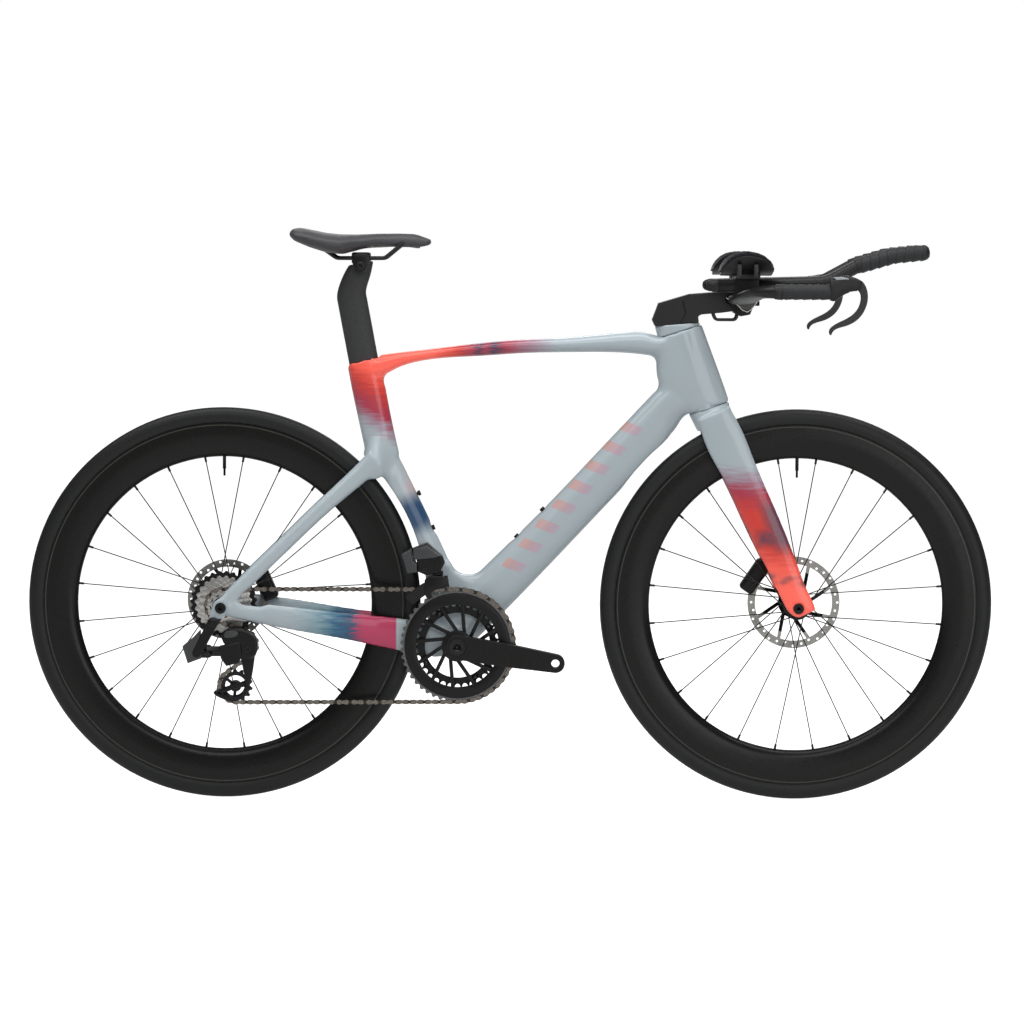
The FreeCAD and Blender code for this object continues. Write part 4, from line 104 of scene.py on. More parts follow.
paint = {
    "grey": "#B3C0C6", "coral": "#FF6E5B", "red": "#D2382E", "crimson": "#B4324C", "mauve": "#A98A9C",
    "indigo": "#3A2E52", "slate": "#7FA0AC", "teal": "#0C6486", "navy": "#16466E", "rose": "#C02A5C",
    "smudge": "#4A3A52", "smudgeShare": 0.85, "black": "#121213", "glow": 0.26, "glowTint": "#FF3A28",
    "streakMm": 9.0, "flakeMm": 0.6, "peelMm": 0.02,
    "fades": {  # direction, span along it, stretch of the streaks, how torn, and the colours on the way
        "seat": ((0.58, 0, 1), (0.47, 0.67), (0.2, 0.2, 2.4), 0.22,
                 [(0.12, "grey"), (0.24, "mauve"), (0.34, "crimson"), (0.52, "red"), (0.7, "coral")]),
        "top": ((1, 0, 0), (-0.2, 0.1), (0.12, 2.0, 2.6), 0.16,
                [(0.2, "coral"), (0.36, "red"), (0.45, "crimson"), (0.48, "indigo"), (0.52, "crimson"),
                 (0.57, "indigo"), (0.64, "crimson"), (0.8, "mauve"), (0.92, "grey")]),
        "stay": ((1, 0, 0), (-0.4, -0.19), (0.1, 1.5, 3.0), 0.3,
                 [(0.12, "grey"), (0.34, "slate"), (0.48, "teal"), (0.6, "navy"), (0.69, "rose")]),
        "fork": ((0.12, 0, 1), (0.36, 0.64), (0.25, 0.25, 2.2), 0.14,
                 [(0.3, "coral"), (0.48, "red"), (0.68, "red"), (0.8, "crimson"), (0.87, "mauve"),
                  (0.95, "grey")]),
    },
    "zones": {  # axis, then a soft start and a soft end along it
        "ahead": ("X", (-0.19, -0.13), (9, 10)), "behind": ("X", (-9, -8), (-0.175, -0.155)),
        "above": ("Z", (0.685, 0.705), (9, 10)), "high": ("Z", (0.5, 0.55), (9, 10)),
        "reach": ("X", (-9, -8), (0.08, 0.12)), "low": ("Z", (-1, 0), (0.345, 0.36)),
        "short": ("X", (-9, -8), (-0.197, -0.194)), "tall": ("Z", (0.425, 0.455), (0.5, 0.535)),
        "cross": ("Z", (0.438, 0.455), (0.462, 0.478)), "tip": ("Z", (0.368, 0.385), (0.389, 0.402)),
        "hangerTop": ("Z", (0.319, 0.321), (9, 10)),
    },
    "patchAt": (-0.168, 0.0, 0.492), "patchEdge": (0.022, 0.05), "foreAim": (0.951, 0, 0.309),
    "foreEdge": (0.553, 0.58),
    "cloudMm": 1000 / 26, "cloudEdge": (0.35, 0.6),
    "bars": {
        "along": (0.645, 0, 0.764), "across": (0.764, 0, -0.645), "slant": -0.35, "pitch": 0.044,
        "share": 0.42,
        "start": (0.395, 0.396), "end": (0.7235, 0.7245), "head": (-0.2745, -0.274), "foot": (-0.246, -0.236),
        "strength": 0.62, "edge": 0.02, "tints": [(0.15, "#DE978A"), (0.6, "#CF9DAE"), (1.0, "#BFA6C4")],
    },
}


def lacquer(name):
    # clear lacquer over paint on a moulded composite: soft colour with a sharp thin reflection on top;
    # its peel is drawn coarser than it is, so that it shows
    mat, tree, bsdf, spot = newFinish(name, Roughness=0.38, Coat_Weight=0.55, Coat_Roughness=0.07, IOR=1.5)
    peel = add(tree, "ShaderNodeTexNoise", {"Vector": spot, "Scale": 1000 / paint["flakeMm"], "Detail": 2.0})
    relief = add(tree, "ShaderNodeBump",
                 {"Height": peel, "Distance": paint["peelMm"] / 1000, "Strength": 0.25})
    tree.links.new(relief.outputs[0], bsdf.inputs["Normal"])
    axes = add(tree, "ShaderNodeSeparateXYZ", {"Vector": spot}).outputs
    return mat, tree, bsdf, spot, axes


def tornFade(tree, spot, name):
    # colours that follow one another along a direction, their borders torn by stretched streaks
    direction, span, stretch, amount, stops = paint["fades"][name]
    dot = add(tree, "ShaderNodeVectorMath", {0: spot, 1: direction}, operation="DOT_PRODUCT").outputs["Value"]
    share = add(tree, "ShaderNodeMapRange", {"Value": dot, "From Min": span[0], "From Max": span[1]})
    spread = add(tree, "ShaderNodeMapping", {"Vector": spot, "Scale": stretch})
    streak = add(tree, "ShaderNodeTexNoise",
                 {"Vector": spread, "Scale": 1000 / paint["streakMm"], "Detail": 2.0})
    torn = add(tree, "ShaderNodeMath", {0: streak, 1: 0.5}, operation="SUBTRACT")
    share = add(tree, "ShaderNodeMath", {0: torn, 1: amount, 2: share}, operation="MULTIPLY_ADD")
    return add(tree, "ShaderNodeValToRGB", {"Fac": share}, [(at, paint[colour]) for at, colour in stops])


def paintZone(tree, value, rise, fall):
    # masks what lies between a soft start and a soft end
    soft = {"interpolation_type": "SMOOTHSTEP"}
    up = add(tree, "ShaderNodeMapRange", {"Value": value, "From Min": rise[0], "From Max": rise[1]}, **soft)
    ends = {"From Min": fall[0], "From Max": fall[1], "To Min": 1.0, "To Max": 0.0}
    down = add(tree, "ShaderNodeMapRange", {"Value": value, **ends}, **soft)
    return add(tree, "ShaderNodeMath", {0: up, 1: down}, operation="MULTIPLY")


def namedZone(tree, axes, name):
    axis, rise, fall = paint["zones"][name]
    return paintZone(tree, axes[axis], rise, fall)


def dayGlow(tree, bsdf, colour):
    # fluorescent pigment: the warmest reds give back a little more light than falls on them
    part = add(tree, "ShaderNodeSeparateColor", {"Color": colour}).outputs
    warmth = add(tree, "ShaderNodeMath", {0: part["Red"], 1: part["Green"]}, operation="SUBTRACT")
    glow = add(tree, "ShaderNodeMapRange",
               {"Value": warmth, "From Min": 0.5, "From Max": 0.84, "To Max": paint["glow"]})
    bsdf.inputs["Emission Color"].default_value = linear(paint["glowTint"])
    tree.links.new(glow.outputs[0], bsdf.inputs["Emission Strength"])


def framePaint():
    mat, tree, bsdf, spot, axes = lacquer("framePaint")
    p = paint
    # seat tube: coral at the top, red, crimson streaks, mauve, grey; the fade leans down to the front
    # top tube: the coral runs forward into two dark bands and out to grey
    ahead = namedZone(tree, axes, "ahead")
    seat, top = tornFade(tree, spot, "seat"), tornFade(tree, spot, "top")
    warm = add(tree, "ShaderNodeMix", {0: ahead, 6: seat, 7: top}, data_type="RGBA").outputs[2]
    behind, above = namedZone(tree, axes, "behind"), namedZone(tree, axes, "above")
    zone = add(tree, "ShaderNodeMath", {0: behind, 1: above}, operation="MAXIMUM")
    for name in ("high", "reach"):
        zone = add(tree, "ShaderNodeMath", {0: zone, 1: namedZone(tree, axes, name)}, operation="MULTIPLY")
    colour = add(tree, "ShaderNodeMix", {0: zone, 6: linear(p["grey"]), 7: warm}, data_type="RGBA").outputs[2]
    # chainstays: grey into teal and navy, then a rose block that stops short of the bracket
    low, short = namedZone(tree, axes, "low"), namedZone(tree, axes, "short")
    zone = add(tree, "ShaderNodeMath", {0: low, 1: short}, operation="MULTIPLY")
    stay = tornFade(tree, spot, "stay")
    colour = add(tree, "ShaderNodeMix", {0: zone, 6: colour, 7: stay}, data_type="RGBA").outputs[2]
    # soft dark patch low on the seat tube, behind the mech
    away = add(tree, "ShaderNodeVectorMath", {0: spot, 1: p["patchAt"]}, operation="DISTANCE")
    patch = paintZone(tree, away.outputs["Value"], (-1, 0), p["patchEdge"])
    colour = add(tree, "ShaderNodeMix", {0: patch, 6: colour, 7: linear(p["navy"])},
                 data_type="RGBA").outputs[2]
    # a row of plain slanted bars on the upper half of the down tube, coral at their heads, lilac at their feet
    bar = p["bars"]
    along, across = (add(tree, "ShaderNodeVectorMath", {0: spot, 1: bar[name]},
                         operation="DOT_PRODUCT").outputs["Value"]
                     for name in ("along", "across"))
    slant = add(tree, "ShaderNodeMath", {0: across, 1: bar["slant"], 2: along}, operation="MULTIPLY_ADD")
    turns = add(tree, "ShaderNodeMath", {0: slant, 1: bar["pitch"]}, operation="DIVIDE")
    phase = add(tree, "ShaderNodeMath", {0: turns}, operation="FRACT")
    stripe = paintZone(tree, phase, (0.0, bar["edge"]), (bar["share"], bar["share"] + bar["edge"]))
    zone = paintZone(tree, slant, bar["start"], bar["end"])
    for limit in (paintZone(tree, across, bar["head"], bar["foot"]), stripe, bar["strength"]):
        zone = add(tree, "ShaderNodeMath", {0: zone, 1: limit}, operation="MULTIPLY")
    fade = add(tree, "ShaderNodeMapRange",
               {"Value": across, "From Min": bar["head"][0], "From Max": bar["foot"][1]})
    tint = add(tree, "ShaderNodeValToRGB", {"Fac": fade}, bar["tints"])
    colour = add(tree, "ShaderNodeMix", {0: zone, 6: colour, 7: tint}, data_type="RGBA").outputs[2]
    tree.links.new(colour, bsdf.inputs["Base Color"])
    dayGlow(tree, bsdf, colour)
    return mat


def forkPaint():
    # coral at the tips, red up the legs, torn into grey below the crown
    mat, tree, bsdf, spot, axes = lacquer("forkPaint")
    p = paint
    fade = tornFade(tree, spot, "fork")
    # dark smudges: one along the front edge, one across the leg and one above the tip
    fore = add(tree, "ShaderNodeVectorMath", {0: spot, 1: p["foreAim"]}, operation="DOT_PRODUCT")
    front = paintZone(tree, fore.outputs["Value"], p["foreEdge"], (9, 10))
    tall, cross, tip = (namedZone(tree, axes, name) for name in ("tall", "cross", "tip"))
    edge = add(tree, "ShaderNodeMath", {0: front, 1: tall}, operation="MULTIPLY")
    bands = add(tree, "ShaderNodeMath", {0: cross, 1: tip}, operation="MAXIMUM")
    cloud = add(tree, "ShaderNodeTexNoise", {"Vector": spot, "Scale": 1000 / p["cloudMm"], "Detail": 2.0})
    low, high = p["cloudEdge"]
    cloud = add(tree, "ShaderNodeMapRange", {"Value": cloud, "From Min": low, "From Max": high})
    broken = add(tree, "ShaderNodeMath", {0: bands, 1: cloud}, operation="MULTIPLY")
    dark = add(tree, "ShaderNodeMath", {0: edge, 1: broken}, operation="MAXIMUM")
    dark = add(tree, "ShaderNodeMath", {0: dark, 1: p["smudgeShare"]}, operation="MULTIPLY")
    colour = add(tree, "ShaderNodeMix", {0: dark, 6: fade, 7: linear(p["smudge"])},
                 data_type="RGBA").outputs[2]
    tree.links.new(colour, bsdf.inputs["Base Color"])
    dayGlow(tree, bsdf, colour)
    return mat


def coverPaint():
    # the same lacquer over plain grey, faintly clouded
    mat, tree, bsdf, spot, axes = lacquer("coverPaint")
    cloud = add(tree, "ShaderNodeTexNoise", {"Vector": spot, "Scale": 30.0})
    tone = add(tree, "ShaderNodeValToRGB", {"Fac": cloud}, [(0.3, "#AEBBC1"), (0.7, "#B8C4CA")])
    tree.links.new(tone.outputs[0], bsdf.inputs["Base Color"])
    return mat


def wheelRadius(tree):
    # distance from the nearer axle, the same for both wheels
    spot = add(tree, "ShaderNodeTexCoord").outputs["Object"]
    side = add(tree, "ShaderNodeVectorMath", {0: spot}, operation="ABSOLUTE")
    away = add(tree, "ShaderNodeVectorMath", {0: side, 1: (0.4925, 0.0, 0.338)}, operation="SUBTRACT")
    flat = add(tree, "ShaderNodeVectorMath", {0: away, 1: (1, 0, 1)}, operation="MULTIPLY")
    return add(tree, "ShaderNodeVectorMath", {0: flat}, operation="LENGTH").outputs["Value"]


def wheelBand(mat, rise, fall, hexText):
    # a ring of another colour on a wheel's piece, between two radii
    tree = mat.node_tree
    bsdf = tree.nodes["Principled BSDF"]
    plain = bsdf.inputs["Base Color"].links[0].from_socket
    band = paintZone(tree, wheelRadius(tree), rise, fall)
    tone = add(tree, "ShaderNodeMix", {0: band, 6: plain, 7: linear(hexText)}, data_type="RGBA").outputs[2]
    tree.links.new(tone, bsdf.inputs["Base Color"])
    return mat


def rootPaintedSheen():
    # polished clear coat on carbon, with a painted reflection: pale towards the top and dark below
    mat, tree, bsdf, spot, axes = lacquer("rootPaintedSheen")
    share = add(tree, "ShaderNodeMapRange", {"Value": axes["Z"], "From Min": 0.846, "From Max": 0.876})
    tone = add(tree, "ShaderNodeValToRGB", {"Fac": share},
               [(0.25, "#22221F"), (0.45, "#5F5C55"), (0.6, "#A7A399"), (0.9, "#8D8A82")])
    tree.links.new(tone.outputs[0], bsdf.inputs["Base Color"])
    return mat


def hangerPaint():
    # the frame's lacquer on the upper end, bare black anodising below
    mat, tree, bsdf, spot, axes = lacquer("hangerPaint")
    upper = namedZone(tree, axes, "hangerTop")
    tones = {6: linear(paint["black"]), 7: linear(paint["grey"])}
    tone = add(tree, "ShaderNodeMix", {0: upper, **tones}, data_type="RGBA").outputs[2]
    tree.links.new(tone, bsdf.inputs["Base Color"])
    return mat


finishes = {
    "framePaint": framePaint(),
    "forkPaint": forkPaint(),
    "coverPaint": coverPaint(),
    # moulded carbon fibre, matt lacquer: dark grey with faint fibre streaks
    "postCarbon": grained("postCarbon", 1.4, ("#333434", "#3B3C3D"), (0.5, 0.6), 0.02, (1, 1, 0.2), IOR=1.4),
    # clear-coated carbon rim: deep black with a fine paler line beside the tyre
    "rimCarbon": wheelBand(grained("rimCarbon", 1.2, ("#0C0B0A", "#131110"), (0.24, 0.3), 0.012, IOR=1.34),
                           (0.3068, 0.3072), (0.3083, 0.3087), "#45453F"),
    "rootPaintedSheen": rootPaintedSheen(),
    # moulded carbon fibre, satin lacquer: near black with a soft shine, deeper on the cranks
    "barCarbon": grained("barCarbon", 1.2, ("#141414", "#1C1C1D"), (0.34, 0.46), 0.02, IOR=1.4),
    "crankCarbon": grained("crankCarbon", 1.2, ("#0E0E0D", "#171716"), (0.3, 0.42), 0.015, (0.3, 1, 1),
                           IOR=1.32),
    # vulcanised rubber: near black, dull, finely pitted
    "tyreRubber": grained("tyreRubber", 0.9, ("#0F1011", "#161718"), (0.42, 0.52), 0.06, IOR=1.4),
    # drawn stainless wire, blackened
    "spokeSteel": grained("spokeSteel", 1.0, ("#1A1A1A", "#2A2A2A"), (0.3, 0.42), 0.005, Metallic=0.5),
    # ground stainless brake track, satin, on a black anodised carrier
    "rotorSteel": wheelBand(grained("rotorSteel", 0.8, ("#83827E", "#A5A4A0"), (0.28, 0.42), 0.01,
                                    Metallic=1.0),
                            (-1, 0), (0.0555, 0.056), "#141414"),
    "hangerPaint": hangerPaint(),
    # nickel-plated stamped steel: bright with a fine satin grain
    "sprocketSteel": grained("sprocketSteel", 1.5, ("#A9A8A5", "#C9C8C4"), (0.24, 0.36), 0.01, Metallic=1.0),
    # machined alloy ring teeth, hard anodised dark with worn bright edges
    "toothAlloy": grained("toothAlloy", 1.0, ("#5E5E5E", "#7A7A7A"), (0.3, 0.4), 0.01, Metallic=1.0),
    # plated chain steel with a warm bronze cast, darker on the inner links
    "chainBronze": grained("chainBronze", 2.2, ("#625D57", "#89827A"), (0.2, 0.32), 0.01, Metallic=1.0),
    "chainDark": grained("chainDark", 2.2, ("#33302C", "#4A4640"), (0.24, 0.36), 0.01, Metallic=1.0),
    # black anodised aluminium, bead blasted: satin with fine grain
    "blackAlloy": grained("blackAlloy", 0.7, ("#0B0B0C", "#141414"), (0.28, 0.4), 0.012, IOR=1.34),
    # forged alloy, anodised dark grey: a duller satin
    "leverAlloy": grained("leverAlloy", 0.8, ("#222223", "#2C2C2D"), (0.36, 0.48), 0.02, IOR=1.45),
    # smooth moulded cover, satin dark grey
    "satinCover": grained("satinCover", 0.9, ("#3A3B3C", "#454647"), (0.3, 0.4), 0.01, IOR=1.45),
    # light grey and satin, for the pale strips on the levers
    "paleStrip": grained("paleStrip", 0.9, ("#A9ADAF", "#B7BBBD"), (0.35, 0.45), 0.01, IOR=1.45),
    # glass-filled nylon, injection moulded: matt black
    "blackNylon": grained("blackNylon", 0.8, ("#131314", "#1D1D1E"), (0.42, 0.56), 0.03, IOR=1.42),
    # blackened steel, and polished steel with a clear shine
    "darkSteel": grained("darkSteel", 0.8, ("#2B2B2C", "#3A3A3B"), (0.28, 0.4), 0.01, Metallic=1.0),
    "brightSteel": grained("brightSteel", 0.6, ("#B6B5B2", "#CDCCC9"), (0.2, 0.32), 0.005, Metallic=1.0),
    # coated microfibre over foam: matt black with a leathery pebble
    "saddleSkin": grained("saddleSkin", 1.1, ("#3A3A3D", "#464649"), (0.45, 0.58), 0.08, IOR=1.5),
    # brushed knit over foam: soft, almost no shine
    "padCloth": grained("padCloth", 1.3, ("#17161A", "#242029"), (0.85, 0.95), 0.12, IOR=1.45,
                        Sheen_Weight=0.3),
    # moulded nylon shell: black and glossy
    "shellGloss": grained("shellGloss", 1.5, ("#121213", "#1A1A1B"), (0.2, 0.3), 0.01, IOR=1.5),
    # embossed polyurethane tape: dark grey, slightly soft
    "gripTape": grained("gripTape", 1.0, ("#27282A", "#323335"), (0.55, 0.68), 0.06, IOR=1.42),
    # extruded nylon hose: black, smooth, half matt
    "hoseJacket": grained("hoseJacket", 0.8, ("#1C1C1D", "#262626"), (0.35, 0.45), 0.01, IOR=1.5),
}
print("finishes made:", len(finishes))

finishNodes = {
    "framePaint": ["frame"], "forkPaint": ["fork"], "coverPaint": ["headset_cover", "headset_bearings"],
    "postCarbon": ["seatpost"], "rimCarbon": ["front_rim", "rear_rim"],
    "barCarbon": ["base_bar", "stem", "stem_cover", "arm_rests", "extensions", "extension_clamps"],
    "crankCarbon": ["crank_arm_right", "crank_arm_left"], "tyreRubber": ["front_tyre", "rear_tyre"],
    "spokeSteel": ["front_spokes", "rear_spokes"], "rotorSteel": ["front_rotor", "rear_rotor"],
    "sprocketSteel": ["cassette_cogs"], "hangerPaint": ["derailleur_hanger"], "chainBronze": ["chain"],
    "blackAlloy": ["chainring_outer", "chainring_inner", "front_hub", "rear_hub", "front_caliper",
                   "rear_caliper", "bottom_bracket", "rear_mech_link", "rear_mech_base",
                   "rear_mech_knuckle", "front_mech_body", "front_mech_link", "saddle_clamp",
                   "freehub_body", "rear_axle", "front_axle"],
    "blackNylon": ["rear_mech_battery", "front_mech_battery", "guide_pulley", "tension_pulley",
                   "rear_mech_cage", "lever_bodies"],
    "leverAlloy": ["brake_lever_left", "brake_lever_right"],
    "darkSteel": ["bottle_bolts", "chainring_bolts", "crank_spindle", "front_mech_cage", "saddle_rails",
                  "front_valve", "rear_valve"],
    "saddleSkin": ["saddle_cover"], "padCloth": ["arm_pads"], "shellGloss": ["saddle_shell"],
    "gripTape": ["bar_tape"],
    "hoseJacket": ["brake_hoses"],
}
finishOf = {name: finish for finish, names in finishNodes.items() for name in names}


def meshFrom(work, name):
    made = bpy.data.meshes.new(name)
    work.to_mesh(made)
    work.free()
    return made


def creased(mesh, angle=34.0):
    # smooth faces with sharp edges where they meet at more than the angle
    mesh.polygons.foreach_set("use_smooth", [True] * len(mesh.polygons))
    mesh.set_sharp_from_angle(angle=math.radians(angle))
    return mesh


def mergedMesh(node):
    # a copy of a solid's loose triangles, joined at their corners
    work = bmesh.new()
    work.from_mesh(frame["nodes"][node].data)
    bmesh.ops.remove_doubles(work, verts=work.verts, dist=2e-6)
    return meshFrom(work, node + "Skin")


def setPiece(mesh, name, finish, node):
    # a finished piece that stands for a node and rides on its body
    piece = bpy.data.objects.new(name, mesh)
    scene.collection.objects.link(piece)
    if finish:
        mesh.materials.clear()
        mesh.materials.append(finishes[finish])
    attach(piece, bodyOf[node])
    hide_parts(node)
    return piece


def crispSkin(node):
    return setPiece(creased(mergedMesh(node)), node + "Skin", finishOf[node], node)


def neighbourMean(mesh):
    edges = np.zeros(len(mesh.edges) * 2, np.int32)
    mesh.edges.foreach_get("vertices", edges)
    edges = edges.reshape(-1, 2)
    count = np.bincount(edges.ravel(), minlength=len(mesh.vertices)).astype(float)[:, None]

    def mean(values):
        total = np.zeros_like(values)
        for k in range(values.shape[1]):
            total[:, k] = np.bincount(edges[:, 0], values[edges[:, 1], k], len(values))
            total[:, k] += np.bincount(edges[:, 1], values[edges[:, 0], k], len(values))
        return total / np.maximum(count, 1)
    return mean


def meshArray(mesh, what):
    values = np.zeros(len(mesh.vertices) * 3)
    mesh.vertices.foreach_get(what, values)
    return values.reshape(-1, 3)


def evaluated(shape, build=None):
    # a mesh or curve with its modifier, if any, as a plain mesh
    holder = bpy.data.objects.new("workpiece", shape)
    scene.collection.objects.link(holder)
    if build:
        build(holder)
    out = bpy.data.meshes.new_from_object(holder.evaluated_get(bpy.context.evaluated_depsgraph_get()))
    bpy.data.objects.remove(holder)
    return out


def remeshed(mesh, voxelMm):
    def build(holder):
        mod = holder.modifiers.new("voxels", "REMESH")
        mod.mode = "VOXEL"
        mod.voxel_size = voxelMm / 1000
        mod.use_smooth_shade = True
    return evaluated(mesh, build)


def soften(points, rounds=2):
    # rounds the corners of an outline by cutting them
    for step in range(rounds):
        cut = []
        for a, b in zip(points, points[1:] + points[:1]):
            cut += [tuple(0.75 * p + 0.25 * q for p, q in zip(a, b)),
                    tuple(0.25 * p + 0.75 * q for p, q in zip(a, b))]
        points = cut
    return points


def onCircle(centre, radius, turn):
    return (centre[0] + radius * math.cos(turn), centre[1] + radius * math.sin(turn))


def circle(centre, radius, count=40):
    return [onCircle(centre, radius, 2 * math.pi * i / count) for i in range(count)]


def plate(loops, depth, bevelMm=0.4):
    # an outline and its holes, in mm along and up, filled between two places across the bike
    curve = bpy.data.curves.new("outline", "CURVE")
    curve.dimensions = "2D"
    curve.fill_mode = "BOTH"
    curve.bevel_depth = bevelMm / 1000
    curve.offset = -bevelMm / 1000
    curve.bevel_resolution = 1
    curve.extrude = (depth[1] - depth[0]) / 2000 - bevelMm / 1000
    for loop in loops:
        line = curve.splines.new("POLY")
        line.points.add(len(loop) - 1)
        for point, (x, z) in zip(line.points, loop):
            point.co = (x / 1000, z / 1000, 0, 1)
        line.use_cyclic_u = True
    mesh = evaluated(curve)
    flat = meshArray(mesh, "co")
    placed = np.stack([flat[:, 0], (depth[0] + depth[1]) / 2000 - flat[:, 2], flat[:, 1]], 1)
    mesh.vertices.foreach_set("co", placed.ravel())
    return joined([mesh])


def joined(meshes):
    work = bmesh.new()
    for mesh in meshes:
        work.from_mesh(mesh)
    bmesh.ops.remove_doubles(work, verts=work.verts, dist=1e-6)
    bmesh.ops.recalc_face_normals(work, faces=work.faces)
    return creased(meshFrom(work, "joined"))


def worn(mesh, voxelMm, steps):
    # melts overlapping blocks into one moulded body with soft edges
    mesh = remeshed(mesh, voxelMm)
    mean = neighbourMean(mesh)
    soft = meshArray(mesh, "co")
    for step in range(steps):
        soft += 0.5 * (mean(soft) - soft)
    mesh.vertices.foreach_set("co", soft.ravel())
    mesh.update()
    return mesh


def turned(start, heading, profile, count=40):
    # a lathe-turned piece: (along, radius) pairs in mm on an axis
    axis = Vector(heading).normalized()
    side = axis.cross(Vector((0, 1, 0))).normalized()
    over = axis.cross(side)
    work = bmesh.new()
    rows = []
    for along, radius in profile:
        centre = Vector(start) + axis * along / 1000
        ring = circle((0, 0), radius / 1000, count)
        rows.append([work.verts.new(centre + side * u + over * v) for u, v in ring])
    for low, high in zip(rows, rows[1:]):
        for i in range(count):
            work.faces.new((low[i], low[(i + 1) % count], high[(i + 1) % count], high[i]))
    work.faces.new(rows[0][::-1])
    work.faces.new(rows[-1])
    return joined([meshFrom(work, "turned")])


def moved(node, change):
    # a merged copy of a solid with its points moved by a rule
    mesh = mergedMesh(node)
    mesh.vertices.foreach_set("co", change(meshArray(mesh, "co")).ravel())
    mesh.update()
    return creased(mesh)


seams = {  # ends of the head tube, and the fills behind thin walls
    "axis": (-0.309, 0.0, 0.951), "low": (0.334106, 0.0, 0.676627), "top": (0.290844, 0.0, 0.809775),
    "clear": 0.02, "reach": 0.031, "coreR": 25.0, "endMm": 1.0, "postTop": 0.742,
}


def seamFree(points):
    # nought beside the two ends of the head tube, one away from them
    axis = np.array(seams["axis"])
    ends = [np.abs((points - np.array(seams[name])) @ axis) for name in ("low", "top")]
    away = np.minimum(*ends) / seams["clear"]
    arm = points - np.array(seams["low"])
    reach = np.linalg.norm(arm - np.outer(arm @ axis, axis), axis=1)
    return np.where(reach < seams["reach"], np.clip(away * 1.5 - 0.5, 0, 1), 1.0)[:, None]


def headCore():
    # fills the bore of the head tube, whose wall is thinner than the skin's voxels
    low, top = Vector(seams["low"]), Vector(seams["top"])
    span = (top - low).length * 1000
    return turned(low, top - low, [(seams["endMm"], seams["coreR"]), (span - seams["endMm"], seams["coreR"])])


def postCore():
    # the part of the post inside the seat tube, whose back wall is as thin
    work = bmesh.new()
    work.from_mesh(mergedMesh("seatpost"))
    whole = work.verts[:] + work.edges[:] + work.faces[:]
    level = {"plane_co": (0, 0, seams["postTop"]), "plane_no": (0, 0, 1)}
    cut = bmesh.ops.bisect_plane(work, geom=whole, clear_outer=True, **level)
    bmesh.ops.holes_fill(work,
                         edges=[item for item in cut["geom_cut"] if isinstance(item, bmesh.types.BMEdge)])
    return meshFrom(work, "postCore")


blends = {  # places worn further than the other inner corners: centre, radius and steps
    "underHead": ((0.288, 0.0, 0.652), 0.05, 140), "topOfHead": ((0.243, 0.0, 0.802), 0.03, 60),
    "dropout": ((-0.44, -0.07, 0.345), 0.03, 60),
}
wear = {"firstSteps": 2, "flat": 0.025, "gain": 12, "spread": 1.6, "fadeSteps": 3, "evenSteps": 3,
        "evenShare": 0.35}


def mouldedSkin(node, voxelMm, filletSteps):
    # inner corners are worn into fillets; elsewhere the skin is laid back on the solid
    solid = mergedMesh(node)
    if node == "frame":
        solid = joined([solid, headCore(), postCore()])
    shape = BVHTree.FromPolygons([v.co for v in solid.vertices], [p.vertices for p in solid.polygons])
    mesh = remeshed(solid, voxelMm)
    mean = neighbourMean(mesh)
    soft = meshArray(mesh, "co")
    normals = meshArray(mesh, "normal")
    for step in range(wear["firstSteps"]):
        soft += 0.5 * (mean(soft) - soft)
    hollow = ((mean(soft) - soft) * normals).sum(1, keepdims=True) / (voxelMm / 1000)
    mask = np.clip((hollow - wear["flat"]) * wear["gain"], 0, 1)
    for step in range(wear["firstSteps"] + filletSteps // 5):
        mask = np.maximum(mask, np.clip(mean(mask) * wear["spread"], 0, 1))
    if node == "frame":
        mask *= seamFree(soft)
    for step in range(filletSteps):
        soft += mask * 0.5 * (mean(soft) - soft)
    if node == "frame":
        for centre, radius, steps in blends.values():
            away = np.linalg.norm(soft - np.array(centre), axis=1) / radius
            part = np.clip(2 - 2 * away, 0, 1)[:, None] * seamFree(soft)
            mask = np.maximum(mask, part)
            for step in range(steps):
                soft += part * 0.5 * (mean(soft) - soft)
    laid = np.array([shape.find_nearest(Vector(p))[0] for p in soft])
    for step in range(wear["fadeSteps"]):
        mask = 0.5 * mask + 0.5 * mean(mask)
    out = laid * (1 - mask) + soft * mask
    for step in range(wear["evenSteps"]):
        out += wear["evenShare"] * (mean(out) - out)
    mesh.vertices.foreach_set("co", out.ravel())
    mesh.update()
    print(node, "skin:", len(mesh.polygons), "faces")
    return setPiece(mesh, node + "Skin", finishOf[node], node)


moulded = {  # voxel in mm and how far the inner corners are worn
    "frame": (3.0, 40), "fork": (2.4, 10), "headset_cover": (1.5, 3), "stem": (1.4, 4), "seatpost": (2.0, 3),
    "lever_bodies": (1.0, 4), "brake_lever_left": (0.7, 3), "brake_lever_right": (0.7, 3),
    "front_caliper": (0.9, 3), "rear_caliper": (0.9, 3), "rear_mech_base": (0.8, 3),
    "rear_mech_link": (0.7, 2), "crank_arm_right": (0.9, 3), "crank_arm_left": (0.9, 3),
    "saddle_clamp": (0.9, 3), "extension_clamps": (0.9, 3),
}
for node, (voxelMm, steps) in moulded.items():
    mouldedSkin(node, voxelMm, steps)


rings = {
    "centre": (-90.12, 270.5), "teeth": 48, "pitchR": 97.1, "rootMm": 3.2, "tipMm": 0.8,
    "toothDepth": (-48.6, -46.6),
    "bandR": (71.0, 89.5), "bandDepth": (-53.0, -48.4), "backDepth": (-49.2, -46.8), "lapMm": (2.0, 1.5),
    "hubR": 27.0, "hubDepth": (-53.5, -47.0), "hubHoleR": 14.0, "toothLapMm": 4.0, "footMm": 3.0,
    "arms": 12, "armWidth": 6.4, "armTurn": 24.0, "armDepth": (-51.5, -47.5),
}


